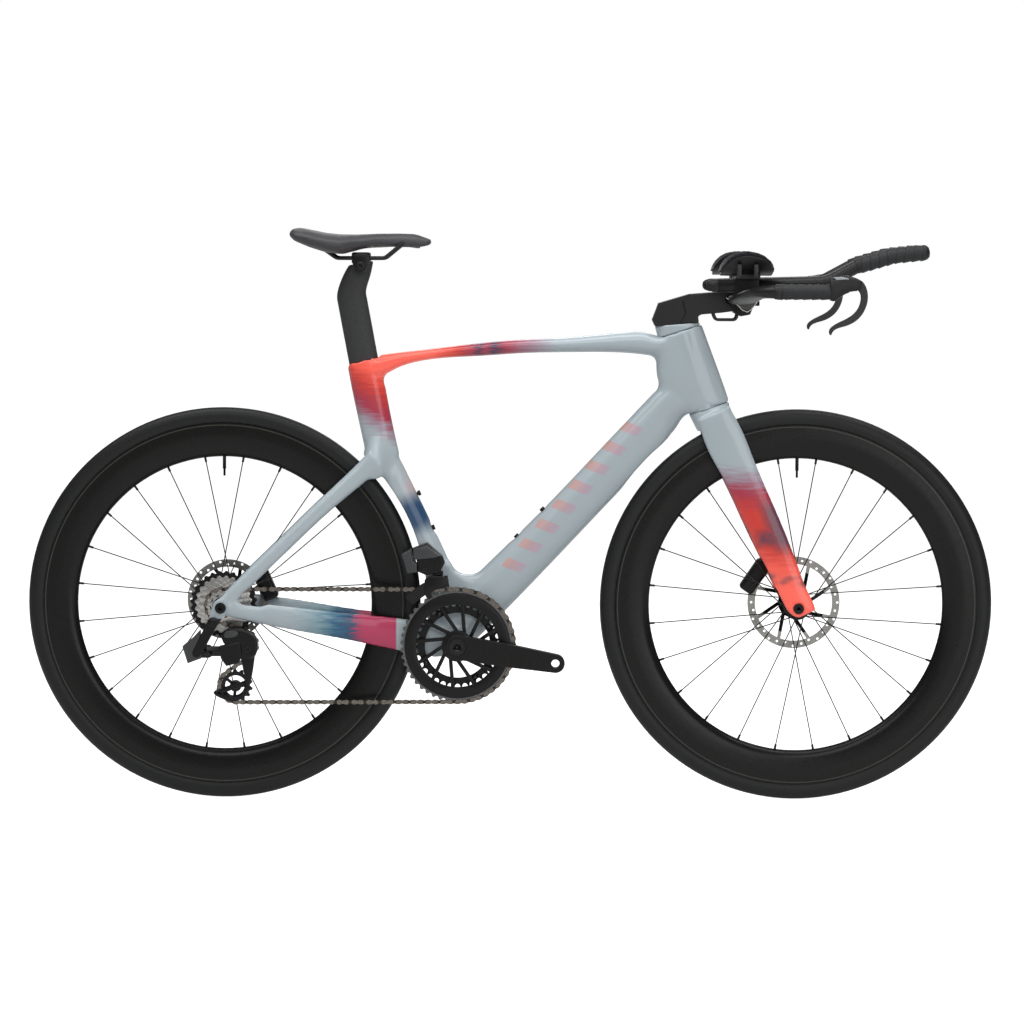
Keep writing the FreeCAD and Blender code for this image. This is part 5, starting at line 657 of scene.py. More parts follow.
def toothLoop(centre, teeth, rootR, tipR):
    # four points to a tooth: two at its root and two at its narrow tip
    loop = []
    for i in range(teeth):
        for share, radius in ((0.0, rootR), (0.22, rootR), (0.48, tipR), (0.74, tipR)):
            loop.append(onCircle(centre, radius, 2 * math.pi * (i + share) / teeth))
    return loop


def strut(foot, head, width):
    # a straight bar between two points, as an outline
    along = (Vector(head) - Vector(foot)).normalized()
    side = Vector((-along.y, along.x)) * width / 2
    return [tuple(Vector(at) + side * s) for at, s in ((foot, 1), (foot, -1), (head, -1), (head, 1))]


def addRings():
    r = rings
    c = r["centre"]
    inner, outer = r["bandR"]
    lapIn, lapOut = r["lapMm"]
    teeth = toothLoop(c, r["teeth"], r["pitchR"] - r["rootMm"], r["pitchR"] + r["tipMm"])
    ring = plate([teeth, circle(c, outer - r["toothLapMm"], 96)], r["toothDepth"], 0.25)
    setPiece(ring, "outerTeeth", "toothAlloy", "chainring_outer")
    parts = [plate([circle(c, outer + lapOut, 96), circle(c, inner + lapIn, 96)], r["backDepth"], 0.3),
             plate([circle(c, outer, 96), circle(c, inner, 96)], r["bandDepth"], 0.9),
             plate([circle(c, r["hubR"], 64), circle(c, r["hubHoleR"], 48)], r["hubDepth"], 0.8)]
    for i in range(r["arms"]):
        turn = 2 * math.pi * i / r["arms"]
        foot = onCircle(c, r["hubR"] - r["footMm"], turn)
        head = onCircle(c, inner + lapIn, turn + math.radians(r["armTurn"]))
        parts.append(plate([strut(foot, head, r["armWidth"])], r["armDepth"], 0.6))
    setPiece(joined(parts), "outerRing", "blackAlloy", "chainring_outer")


rearMech = {
    "battery": [(-557, 273), (-539, 288), (-527, 301), (-524, 253), (-548, 244)], "batteryDepth": (-96, -72),
    "shoulder": [(-492, 298), (-474, 303), (-450, 301), (-434, 290), (-429, 277), (-431, 258), (-446, 250),
                 (-459, 258), (-490, 276)], "shoulderDepth": (-86, -66),
    "motor": [(-492, 252), (-496, 272), (-459, 280), (-456, 258), (-462, 244), (-483, 239)],
    "motorDepth": (-90, -68),
    "lower": [(-467, 274), (-433, 274), (-433, 252), (-448, 248), (-467, 252)], "lowerDepth": (-80, -55),
    "panel": [(-487, 297), (-473, 300), (-462, 298), (-464, 289), (-487, 286)], "panelDepth": (-87.5, -80),
    "cage": [(-466, 274), (-450, 276), (-436, 262), (-441, 224), (-446, 200), (-452, 184), (-462, 176),
             (-478, 173), (-494, 179), (-507, 186), (-508, 191), (-500, 192), (-488, 186), (-474, 182),
             (-462, 186), (-455, 196), (-453, 210), (-456, 226)],
    "cageRib": [(-502, 192), (-498, 186), (-470, 196), (-452, 200), (-452, 206), (-472, 204)],
    "cageDepths": ((-58.0, -55.6), (-43.6, -41.4)), "capDepths": ((-59.0, -55.0), (-45.0, -41.0)),
    "tension": (-470.24, 200.05), "teeth": 14, "pulleyR": (24.6, 29.4), "pulleyDepth": (-49.0, -46.2),
    "openR": 18.0,
    "hubR": 9.0, "spokes": 3, "spokeTurn": 0.4, "spokeWidth": 5.2, "voxelMm": 0.7,
    "axleAt": (-492.5, 338), "axleR": 9.4, "axleSocketR": 4.0, "axleDepth": (-89.0, -85.0),
}


def addRearMech():
    m = rearMech
    battery = worn(plate([m["battery"]], m["batteryDepth"], 2.5), m["voxelMm"], 2)
    setPiece(battery, "rearBattery", "satinCover", "rear_mech_battery")
    body = joined([plate([soften(m["shoulder"])], m["shoulderDepth"], 3.0),
                   plate([m["motor"]], m["motorDepth"], 2.0),
                   plate([soften(m["lower"])], m["lowerDepth"], 2.0)])
    setPiece(worn(body, m["voxelMm"], 3), "rearMechBody", "blackAlloy", "rear_mech_knuckle")
    panel = plate([soften(m["panel"])], m["panelDepth"], 0.8)
    setPiece(panel, "rearMechPanel", "satinCover", "rear_mech_knuckle")
    c = m["tension"]
    sides = [plate([loop], depth, 0.5)
             for loop in (soften(m["cage"]), m["cageRib"]) for depth in m["cageDepths"]]
    sides += [plate([circle(c, m["hubR"])], depth, 0.8) for depth in m["capDepths"]]
    setPiece(joined(sides), "rearCage", "blackAlloy", "rear_mech_cage")
    parts = [plate([toothLoop(c, m["teeth"], *m["pulleyR"]), circle(c, m["openR"])], m["pulleyDepth"], 0.4),
             plate([circle(c, m["hubR"] + 1)], m["pulleyDepth"], 0.4)]
    for i in range(m["spokes"]):
        turn = 2 * math.pi * i / m["spokes"] + m["spokeTurn"]
        foot, head = (onCircle(c, radius, turn) for radius in (m["hubR"] * 0.8, m["openR"] + 2))
        parts.append(plate([strut(foot, head, m["spokeWidth"])], m["pulleyDepth"], 0.4))
    setPiece(joined(parts), "tensionWheel", "blackNylon", "tension_pulley")
    head = plate([circle(m["axleAt"], m["axleR"]), circle(m["axleAt"], m["axleSocketR"], 6)], m["axleDepth"],
                 0.8)
    setPiece(head, "axleHead", "blackAlloy", "rear_axle")


frontMech = {
    "battery": [(-186, 428), (-170, 437), (-166, 417), (-159, 412), (-159, 397), (-176, 395)],
    "batteryDepth": (-58, -34),
    "motor": [(-168, 437), (-142, 447), (-116, 424), (-112, 413), (-121, 396), (-144, 392), (-158, 398),
              (-160, 417)], "motorDepth": (-55, -24), "voxelMm": 0.7,
    "cover": [(-166, 436), (-143, 444), (-120, 426), (-130, 422), (-165, 419)], "coverDepth": (-58, -50),
    "neck": [(-146, 391), (-122, 392), (-105, 388), (-106, 371), (-122, 369), (-133, 367), (-136, 351),
             (-143, 352), (-147, 364)], "neckDepth": (-57, -52),
}


def addFrontMech():
    m = frontMech
    battery = worn(plate([m["battery"]], m["batteryDepth"], 2.5), m["voxelMm"], 2)
    setPiece(battery, "frontBattery", "satinCover", "front_mech_battery")
    motor = worn(plate([m["motor"]], m["motorDepth"], 3.0), m["voxelMm"], 3)
    setPiece(motor, "frontMechMotor", "blackAlloy", "front_mech_body")
    cover = plate([m["cover"]], m["coverDepth"], 1.6)
    setPiece(cover, "frontMechCover", "satinCover", "front_mech_body")
    neck = plate([soften(m["neck"], 1)], m["neckDepth"], 1.2)
    setPiece(neck, "frontCageNeck", "blackAlloy", "front_mech_cage")


bolts = {  # node, then along, up, face across and radius in mm
    "rear_mech_base": [(-507, 313, -100.3, 3.4)], "rear_mech_cage": [(-470.2, 200, -59.2, 4.4)],
    "rear_mech_knuckle": [(-446, 268, -86.2, 5.4), (-485, 247, -90.2, 2.6)],
    "front_mech_body": [(-126, 407, -55.2, 3.0), (-146, 402, -55.2, 3.6)], "stem": [(418, 857.5, -22.2, 3.2)],
}


def newTree(name, inputs):
    # a geometry tree with named inputs: a number, or the kind of thing that goes in
    tree = bpy.data.node_groups.new(name, "GeometryNodeTree")
    face = tree.interface
    face.new_socket("Geometry", in_out="INPUT", socket_type="NodeSocketGeometry")
    for key, value in inputs.items():
        if isinstance(value, str):
            face.new_socket(key, in_out="INPUT", socket_type="NodeSocket" + value)
        else:
            face.new_socket(key, in_out="INPUT", socket_type="NodeSocketFloat").default_value = value
    face.new_socket("Geometry", in_out="OUTPUT", socket_type="NodeSocketGeometry")
    return tree, tree.nodes.new("NodeGroupInput").outputs


def closeTree(tree, made):
    tree.links.new(made.outputs[0], tree.nodes.new("NodeGroupOutput").inputs["Geometry"])
    return tree


def boltTree():
    # one bolt head set on every point and sized by its radius
    tree, given = newTree("socketBolts", {"boltHead": "Object", "finish": "Material"})
    size = add(tree, "GeometryNodeInputNamedAttribute", {"Name": "size"}, data_type="FLOAT")
    head = add(tree, "GeometryNodeObjectInfo", {"Object": given["boltHead"]}).outputs["Geometry"]
    placed = add(tree, "GeometryNodeInstanceOnPoints",
                 {"Points": given["Geometry"], "Instance": head, "Scale": size})
    placed = add(tree, "GeometryNodeRealizeInstances", {"Geometry": placed})
    return closeTree(tree,
                     add(tree, "GeometryNodeSetMaterial", {"Geometry": placed, "Material": given["finish"]}))


def addBolts():
    tree = boltTree()
    unitHead = plate([circle((0, 0), 1.0, 24), circle((0, 0), 0.5, 6)], (-0.4, 0.4), 0.12)
    master = bpy.data.objects.new("boltHead", unitHead)
    scene.collection.objects.link(master)
    for node, places in bolts.items():
        mesh = bpy.data.meshes.new("boltPoints")
        mesh.from_pydata([(x / 1000, y / 1000, z / 1000) for x, z, y, r in places], [], [])
        mesh.attributes.new("size", "FLOAT", "POINT").data.foreach_set("value", [r for x, z, y, r in places])
        made = runTree(tree, mesh, {"boltHead": master, "finish": finishes["darkSteel"]})
        setPiece(made, node + "Bolts", None, node)
    bpy.data.objects.remove(master)


cassette = {
    "centre": (-492.5, 338.0), "teeth": (10, 11, 12, 13, 14, 15, 16, 17, 19, 21, 24, 28), "chainCog": 4,
    "chainLine": -47.6, "spacing": 3.6, "thickness": 1.7, "hubR": 15.3, "rootMm": 2.6, "tipMm": 0.9,
    "pitch": 12.7,
    "openShare": 0.62, "carrierWide": (0.5, 5.0), "carrierIn": 3.0,
}


def addCassette():
    k = cassette
    c = k["centre"]
    cogs, carriers = [], []
    for i, teeth in enumerate(k["teeth"]):
        pitchR = k["pitch"] / 2 / math.sin(math.pi / teeth)
        mid = k["chainLine"] - k["spacing"] * (k["chainCog"] - i)
        loop = toothLoop(c, teeth, pitchR - k["rootMm"], pitchR + k["tipMm"])
        hole = circle(c, max(k["hubR"], pitchR * k["openShare"]), 48)
        cogs.append(plate([loop, hole], (mid - k["thickness"] / 2, mid + k["thickness"] / 2), 0.25))
        inner = max(k["hubR"], pitchR * k["openShare"] - k["carrierIn"])
        if i:  # a carrier steps from each cog to the one before it
            ring = [circle(c, inner + k["carrierWide"][1], 48), circle(c, inner - k["carrierWide"][0], 48)]
            carriers.append(plate(ring, (mid - k["spacing"], mid), 0.3))
    setPiece(cogs[-1], "largestCog", "blackAlloy", "cassette_cogs")
    setPiece(joined(cogs[:-1]), "steelCogs", "sprocketSteel", "cassette_cogs")
    setPiece(joined(carriers), "cogCarriers", "darkSteel", "cassette_cogs")


chain = {
    "pitch": 12.7, "endR": 4.1, "waist": 2.5, "plate": 0.65, "inner": 1.15, "outer": 1.92, "pinR": 1.7,
    "pinOut": 0.25,
    "rollerR": 3.85, "outerFrom": 0.0045,  # a link wider than this is an outer one
}


def linkMesh(outer):
    # two waisted plates with pins or rollers between them, lying along X about the origin
    k = chain
    half = k["pitch"] / 2
    arc = [math.radians(a) for a in (-105, -63, -21, 21, 63, 105)]
    loop = [(half + k["endR"] * math.cos(a), k["endR"] * math.sin(a)) for a in arc] + [(0, k["waist"])]
    loop += [(-half - k["endR"] * math.cos(a), -k["endR"] * math.sin(a)) for a in arc] + [(0, -k["waist"])]
    near = k["outer"] if outer else k["inner"]
    far = near + k["plate"]
    parts = [plate([loop], (near, far), 0.0), plate([loop], (-far, -near), 0.0)]
    radius, reach = (k["pinR"], far + k["pinOut"]) if outer else (k["rollerR"], near)
    parts += [plate([circle((s * half, 0), radius, 12)], (-reach, reach), 0.0) for s in (-1, 1)]
    return joined(parts)


def chainTree():
    # sets one of two kinds of link on every point of the run
    tree, given = newTree("chainLinks", {"outerLink": "Object", "outerLinkFinish": "Material",
                                         "innerLink": "Object", "innerLinkFinish": "Material"})
    lie = add(tree, "GeometryNodeInputNamedAttribute", {"Name": "lie"}, data_type="FLOAT_VECTOR")
    turn = add(tree, "FunctionNodeEulerToRotation", {0: lie})
    isOuter = add(tree, "GeometryNodeInputNamedAttribute", {"Name": "isOuter"}, data_type="BOOLEAN")
    isInner = add(tree, "FunctionNodeBooleanMath", {0: isOuter}, operation="NOT")
    runs = add(tree, "GeometryNodeJoinGeometry")
    for name, chosen in (("outerLink", isOuter), ("innerLink", isInner)):
        link = add(tree, "GeometryNodeObjectInfo", {"Object": given[name]}).outputs["Geometry"]
        which = {"Selection": chosen, "Instance": link, "Rotation": turn}
        placed = add(tree, "GeometryNodeInstanceOnPoints", {"Points": given["Geometry"], **which})
        placed = add(tree, "GeometryNodeRealizeInstances", {"Geometry": placed})
        placed = add(tree, "GeometryNodeSetMaterial",
                     {"Geometry": placed, "Material": given[name + "Finish"]})
        tree.links.new(placed.outputs[0], runs.inputs[0])
    return closeTree(tree, runs)


def linkPlaces():
    # centre, lie and kind of every link solid in the frame's chain
    work = bmesh.new()
    work.from_mesh(mergedMesh("chain"))
    left = set(work.verts)
    places = []
    while left:
        edge = [left.pop()]
        part = list(edge)
        while edge:
            near = [e.other_vert(v) for v in [edge.pop()] for e in v.link_edges]
            fresh = [v for v in near if v in left]
            left.difference_update(fresh)
            edge += fresh
            part += fresh
        spots = np.array([v.co for v in part])
        middle = (spots.min(0) + spots.max(0)) / 2
        flat = (spots - spots.mean(0))[:, [0, 2]]
        along = np.linalg.eigh(flat.T @ flat)[1][:, 1]
        places.append((middle, math.atan2(along[1], along[0]), np.ptp(spots[:, 1]) > chain["outerFrom"]))
    work.free()
    return places


def addChain():
    places = linkPlaces()
    mesh = bpy.data.meshes.new("chainPoints")
    mesh.from_pydata([tuple(at) for at, lie, outer in places], [], [])
    lies = mesh.attributes.new("lie", "FLOAT_VECTOR", "POINT")
    lies.data.foreach_set("vector", [v for at, lie, outer in places for v in (0, -lie, 0)])
    kinds = mesh.attributes.new("isOuter", "BOOLEAN", "POINT")
    kinds.data.foreach_set("value", [bool(outer) for at, lie, outer in places])
    links = {}
    for name, outer in (("outerLink", True), ("innerLink", False)):
        links[name] = bpy.data.objects.new(name, linkMesh(outer))
        scene.collection.objects.link(links[name])
    looks = {"outerLinkFinish": finishes["chainBronze"], "innerLinkFinish": finishes["chainDark"]}
    made = runTree(chainTree(), mesh, {**links, **looks})
    for item in links.values():
        bpy.data.objects.remove(item)
    made.set_sharp_from_angle(angle=math.radians(34))
    setPiece(made, "chainRun", None, "chain")
    print("chain laid:", len(places), "links", len(made.polygons), "faces")


cockpit = {
    "extensionY": 55.0, "endZ": 0.8878, "endX": 0.351, "cutX": 0.35,
    "plug": [(-2, 10.6), (2, 11.2), (9, 10.9), (16, 8.6), (19.5, 5.5), (20.5, 2.0)],
    "tipAt": (0.6985, 0.9446), "tipAim": (0.995, 0.0, 0.105),
    "tip": [(-1, 13.2), (2, 13.0), (6, 11.4), (9, 8.0), (10, 4.0)],
    "bandAt": (0.593, 0.9232), "bandAim": (0.958, 0.0, 0.287),
    "band": [(-9, 11.3), (-8.5, 12.4), (3.5, 12.6), (4, 11.3)],
    "gripBandAt": (0.4395, 0.2, 0.8788), "gripBand": [(-5, 10.6), (-4.5, 12.0), (8.5, 13.2), (9, 11.0)],
    "wing": [(366, 866), (380, 873), (397, 877), (412, 874), (422, 869), (413, 856), (400, 845), (382, 857)],
    "wingDepth": (-58.0, 58.0), "faceDepth": (57.0, 60.0),
    "rim": [(365, 867), (382, 857), (392, 847), (400, 843.5), (407, 848), (413, 856), (423, 870)],
    "rimR": 1.2, "rimY": 60.2, "rimOver": 0.6,
    "cap": [(372, 858), (380, 841), (392, 835), (408, 838), (414, 853), (424, 853), (424, 861), (412, 864),
            (400, 850), (384, 862)], "capDepth": (-22.0, 22.0),
    "accent": [(530, 903.5), (546, 904), (555, 902), (558, 898), (536, 899)], "accentMid": (0.545, 0.9012),
    "accentThick": 3.0, "accentProud": 0.6,
    "posts": [(376, 903), (404, 903)], "postWide": 7.0, "postTop": 924.0, "postDepth": (146.0, 160.0),
    "cupMid": (0.437, 0.905), "cupShare": 0.84,
}


def addCockpit():
    c = cockpit
    ends, bands, faces, rims, strips, posts = [], [], [], [], [], []
    lever = mergedMesh("lever_bodies")
    leverForm = BVHTree.FromPolygons([v.co for v in lever.vertices], [f.vertices for f in lever.polygons])
    for s in (-1, 1):
        y = s * c["extensionY"] / 1000
        ends.append(turned((c["endX"], y, c["endZ"]), (-1, 0, 0), c["plug"]))
        ends.append(turned((c["tipAt"][0], y, c["tipAt"][1]), c["tipAim"], c["tip"]))
        bands.append(turned((c["bandAt"][0], y, c["bandAt"][1]), c["bandAim"], c["band"]))
        gripX, gripY, gripZ = c["gripBandAt"]
        bands.append(turned((gripX, s * gripY, gripZ), (1, 0, 0), c["gripBand"]))
        # thin plates on the sides of the wing, which carry its painted reflection
        faces.append(plate([soften(c["wing"], 1)], sorted(s * d for d in c["faceDepth"]), 1.2))
        # the strips lie on the outer face of the lever bodies
        hit = leverForm.ray_cast(Vector((c["accentMid"][0], s, c["accentMid"][1])), Vector((0, -s, 0)))[0]
        outside = abs(hit.y) * 1000 + c["accentProud"]
        strips.append(plate([c["accent"]], sorted((s * outside, s * (outside - c["accentThick"]))), 0.6))
        for x, z in c["posts"]:
            loop = [(x, z), (x + c["postWide"], z), (x + c["postWide"], c["postTop"]), (x, c["postTop"])]
            posts.append(plate([loop], sorted(s * d for d in c["postDepth"]), 1.5))
        for a, b in zip(c["rim"], c["rim"][1:]):
            lie = Vector((b[0] - a[0], 0, b[1] - a[1]))
            place = (a[0] / 1000, s * c["rimY"] / 1000, a[1] / 1000)
            over = c["rimOver"]
            rims.append(turned(place, lie, [(-over, c["rimR"]), (lie.length + over, c["rimR"])], 10))

    def shorten(points):
        points[:, 0] = np.maximum(points[:, 0], c["cutX"])
        return points

    def shorterCup(points):
        for axis, mid in zip((0, 2), c["cupMid"]):
            points[:, axis] = mid + (points[:, axis] - mid) * c["cupShare"]
        return points

    wing = plate([soften(c["wing"], 1)], c["wingDepth"], 2.0)
    cap = worn(plate([c["cap"]], c["capDepth"], 2.0), 0.8, 3)
    cups = worn(moved("arm_rests", shorterCup), 1.0, 2)
    setPiece(moved("extensions", shorten), "extensionTubes", "barCarbon", "extensions")
    setPiece(joined(ends), "extensionPlugs", "blackNylon", "extensions")
    setPiece(joined(bands), "tapeBands", "blackNylon", "bar_tape")
    setPiece(wing, "barWing", "barCarbon", "base_bar")
    # the wing's side faces carry a painted reflection, pale at the top and dark below
    setPiece(joined(faces), "barWingFaces", "rootPaintedSheen", "base_bar")
    setPiece(joined(strips), "leverStrips", "paleStrip", "lever_bodies")
    setPiece(joined(posts), "cupPosts", "leverAlloy", "arm_rests")
    setPiece(worn(joined(rims), 0.5, 1), "barWingRims", "brightSteel", "base_bar")
    setPiece(cap, "barClamp", "blackAlloy", "stem")
    setPiece(cups, "armCups", "barCarbon", "arm_rests")


saddle = {  # along, half width, top and lowest edge in mm
    "stations": [(-381, 36, 978, 971), (-372, 57, 985, 962), (-345, 69, 980, 951), (-316, 72, 974, 942),
                 (-290, 66, 971.5, 939), (-262, 48, 971.5, 947), (-230, 32, 973, 953), (-190, 24, 973.5, 951),
                 (-158, 21, 972.5, 951), (-142, 18, 969.5, 953), (-134, 11, 966, 956)],
    "sideShare": 0.45, "count": 48, "voxelMm": 2.5, "wearSteps": 6,
    "shellMid": -0.258, "shellLong": 0.84, "shellWide": 0.86, "shellDrop": 0.0015,
    "shield": [(-273, 936), (-264, 941), (-250, 941), (-240, 936), (-245, 913), (-257, 906), (-268, 911)],
    "shieldDepth": (24.0, 31.0),
    "boltAt": (-257.5, 919), "boltR": 7.4, "socketR": 3.2, "boltDepth": (30.0, 33.0),
}


def saddleMesh():
    # rings of flattened sections, wide at the back and narrow at the nose
    k = saddle
    work = bmesh.new()
    rows = []
    for x, half, top, low in k["stations"]:
        side = low + k["sideShare"] * (top - low)
        row = []
        for i in range(k["count"]):
            a = 2 * math.pi * i / k["count"]
            c, s = math.cos(a), math.sin(a)
            y = half * math.copysign(abs(c) ** 0.75, c)
            # the belly hangs at the sides only
            hollow = min(1.0, 1.45 * (0.35 + 0.65 * abs(c) ** 0.5) * abs(s) ** 0.85)
            z = side + (top - side) * s ** 0.85 if s > 0 else side - (side - low) * hollow
            row.append(work.verts.new((x / 1000, y / 1000, z / 1000)))
        rows.append(row)
    for a, b in zip(rows, rows[1:]):
        for i in range(k["count"]):
            j = (i + 1) % k["count"]
            work.faces.new((a[i], a[j], b[j], b[i]))
    work.faces.new(rows[0][::-1])
    work.faces.new(rows[-1])
    return worn(joined([meshFrom(work, "saddleForm")]), k["voxelMm"], k["wearSteps"])


def addSaddleBase():
    k = saddle

    def narrow(points):
        points[:, 0] = k["shellMid"] + (points[:, 0] - k["shellMid"]) * k["shellLong"]
        points[:, 1] *= k["shellWide"]
        points[:, 2] -= k["shellDrop"]
        return points
    setPiece(moved("saddle_shell", narrow), "saddleBase", "shellGloss", "saddle_shell")
    shields, heads = [], []
    boltLoops = [circle(k["boltAt"], k["boltR"]), circle(k["boltAt"], k["socketR"], 6)]
    for s in (-1, 1):
        shields.append(plate([soften(k["shield"], 1)], sorted(s * d for d in k["shieldDepth"]), 1.2))
        heads.append(plate(boltLoops, sorted(s * d for d in k["boltDepth"]), 0.6))
    setPiece(joined(shields), "clampShields", "blackAlloy", "saddle_clamp")
    setPiece(joined(heads), "clampBolts", "darkSteel", "saddle_clamp")


addRings()
addCassette()
addRearMech()
addFrontMech()
print("rings, sprockets and mechs shaped")
addSaddleBase()

softNodes = ["saddle_cover", "arm_pads"]
tapeNodes = ["bar_tape"]
shapedNodes = ["chainring_outer", "cassette_cogs", "chain", "rear_mech_battery", "rear_mech_knuckle",
               "rear_mech_cage", "tension_pulley", "front_mech_battery", "front_mech_body", "extensions",
               "arm_rests", "saddle_shell"]
plainNodes = [node for node in finishOf if node not in [*moulded, *softNodes, *tapeNodes, *shapedNodes]]
for node in plainNodes:
    crispSkin(node)
print("skins laid:", len(moulded), "moulded and", len(plainNodes), "crisp")

padding = {"voxelMm": 3.5, "startInMm": 1.2, "pressure": 4.0, "frames": 20, "padMid": 0.441, "padShare": 0.86}


def paddedSkin(node, form, capMm):
    # a skin over foam, swollen by cloth under pressure, then smoothed once
    mesh = remeshed(form, padding["voxelMm"])
    start = meshArray(mesh, "co") - meshArray(mesh, "normal") * padding["startInMm"] / 1000
    mesh.vertices.foreach_set("co", start.ravel())
    mesh.update()
    holder = bpy.data.objects.new("padWork", mesh)
    scene.collection.objects.link(holder)
    mod = holder.modifiers.new("swelling", "CLOTH")
    mod.settings.use_pressure = True
    mod.settings.uniform_pressure_force = padding["pressure"]
    mod.settings.effector_weights.gravity = 0.0
    for step in range(1, padding["frames"] + 1):
        scene.frame_set(step)
    grown = bpy.data.meshes.new_from_object(holder.evaluated_get(bpy.context.evaluated_depsgraph_get()))
    move = meshArray(grown, "co") - start
    far = np.linalg.norm(move, axis=1, keepdims=True)
    start = start + move * np.minimum(1, capMm / 1000 / np.maximum(far, 1e-9))
    scene.frame_set(1)
    bpy.data.objects.remove(holder)
    mesh.vertices.foreach_set("co", start.ravel())
    mesh.update()

    def build(item):
        mod = item.modifiers.new("round", "SUBSURF")
        mod.levels = 1
        mod.render_levels = 1
    mesh = evaluated(mesh, build)
    mesh.polygons.foreach_set("use_smooth", [True] * len(mesh.polygons))
    piece = setPiece(mesh, node + "Soft", finishOf[node], node)
    return piece


def shorterPad(points):
    points[:, 0] = padding["padMid"] + (points[:, 0] - padding["padMid"]) * padding["padShare"]
    return points


paddedSkin("saddle_cover", saddleMesh(), 2.0)
paddedSkin("arm_pads", moved("arm_pads", shorterPad), 2.5)
print("padded pieces swollen")


def tapeTree():
    # a path is swept to a tube whose skin steps up at the edge of every wrap
    tree, given = newTree("tapeWrap", {"tubeRadius": 0.0111, "wrapPitch": 0.015, "tapeThickness": 0.0018,
                                       "bendRadius": 0.06, "finish": "Material"})
    path = add(tree, "GeometryNodeMeshToCurve", {"Mesh": given["Geometry"]})
    bend = {"Radius": given["bendRadius"], "Count": 8, "Limit Radius": True}
    path = add(tree, "GeometryNodeFilletCurve", {"Curve": path, **bend}, mode="POLY")
    path = add(tree, "GeometryNodeResampleCurve", {"Curve": path, "Length": 0.0006}, mode="LENGTH")
    length = add(tree, "GeometryNodeSplineParameter").outputs["Length"]
    path = add(tree, "GeometryNodeStoreNamedAttribute", {"Geometry": path, "Name": "along", "Value": length},
               data_type="FLOAT")
    ring = add(tree, "GeometryNodeCurvePrimitiveCircle", {"Resolution": 48, "Radius": given["tubeRadius"]})
    factor = add(tree, "GeometryNodeSplineParameter").outputs["Factor"]
    ring = add(tree, "GeometryNodeStoreNamedAttribute", {"Geometry": ring, "Name": "round", "Value": factor},
               data_type="FLOAT")
    tube = add(tree, "GeometryNodeCurveToMesh", {"Curve": path, "Profile Curve": ring, "Fill Caps": True})
    along = add(tree, "GeometryNodeInputNamedAttribute", {"Name": "along"}, data_type="FLOAT")
    turn = add(tree, "GeometryNodeInputNamedAttribute", {"Name": "round"}, data_type="FLOAT")
    wraps = add(tree, "ShaderNodeMath", {0: along, 1: given["wrapPitch"]}, operation="DIVIDE")
    wraps = add(tree, "ShaderNodeMath", {0: wraps, 1: turn}, operation="ADD")
    phase = add(tree, "ShaderNodeMath", {0: wraps}, operation="FRACT")
    step, low = 0.1, 0.45  # width of a wrap's edge, and how far the wrap falls to the next
    edge = add(tree, "ShaderNodeMapRange", {"Value": phase, "From Min": 0.0, "From Max": step},
               interpolation_type="SMOOTHSTEP")
    slope = {"From Min": step, "From Max": 1.0, "To Min": 1.0, "To Max": low}
    fall = add(tree, "ShaderNodeMapRange", {"Value": phase, **slope})
    height = add(tree, "ShaderNodeMath", {0: edge, 1: 1 - low, 2: low}, operation="MULTIPLY_ADD")
    height = add(tree, "ShaderNodeMath", {0: height, 1: fall}, operation="MINIMUM")
    height = add(tree, "ShaderNodeMath", {0: height, 1: given["tapeThickness"]}, operation="MULTIPLY")
    outward = add(tree, "GeometryNodeInputNormal")
    lift = add(tree, "ShaderNodeVectorMath", {0: outward, "Scale": height}, operation="SCALE")
    tube = add(tree, "GeometryNodeSetPosition", {"Geometry": tube, "Offset": lift})
    tube = add(tree, "GeometryNodeSetShadeSmooth", {"Geometry": tube})
    tube = add(tree, "GeometryNodeRealizeInstances", {"Geometry": tube})
    return closeTree(tree,
                     add(tree, "GeometryNodeSetMaterial", {"Geometry": tube, "Material": given["finish"]}))


def runTree(tree, mesh, values):
    idOf = {item.name: item.identifier for item in tree.interface.items_tree if item.in_out == "INPUT"}

    def build(holder):
        mod = holder.modifiers.new(tree.name, "NODES")
        mod.node_group = tree
        for name, value in values.items():
            mod[idOf[name]] = value
    return evaluated(mesh, build)


tape = {
    "gripX": (0.4398, 0.5258), "gripY": 0.2, "gripZ": 0.8788, "extensionY": 0.055,
    "extension": [(0.5925, 0.9230), (0.6472, 0.9391), (0.6996, 0.9447)], "tubeRadius": 0.0111, "pitch": 0.015,
    "gripThickness": 0.0019, "extensionThickness": 0.003,
}


def pathMesh(paths):
    mesh = bpy.data.meshes.new("tapePath")
    points, edges = [], []
    for path in paths:
        edges += [(len(points) + i, len(points) + i + 1) for i in range(len(path) - 1)]
        points += path
    mesh.from_pydata(points, edges, [])
    return mesh


def addTape():
    tree = tapeTree()
    t = tape
    grips = [[(x, s * t["gripY"], t["gripZ"]) for x in t["gripX"]] for s in (-1, 1)]
    ends = [[(x, s * t["extensionY"], z) for x, z in t["extension"]] for s in (-1, 1)]
    wraps = {"gripWraps": (grips, t["gripThickness"]), "extensionWraps": (ends, t["extensionThickness"])}
    for name, (paths, thickness) in wraps.items():
        sizes = {"tubeRadius": t["tubeRadius"], "wrapPitch": t["pitch"], "tapeThickness": thickness}
        mesh = runTree(tree, pathMesh(paths), {**sizes, "finish": finishes["gripTape"]})
        setPiece(mesh, name, None, "bar_tape")
        print(name, "wound:", len(mesh.polygons), "faces")


addTape()
addChain()
addBolts()
print("bolts set:", sum(len(places) for places in bolts.values()))
addCockpit()
print("cockpit shaped")

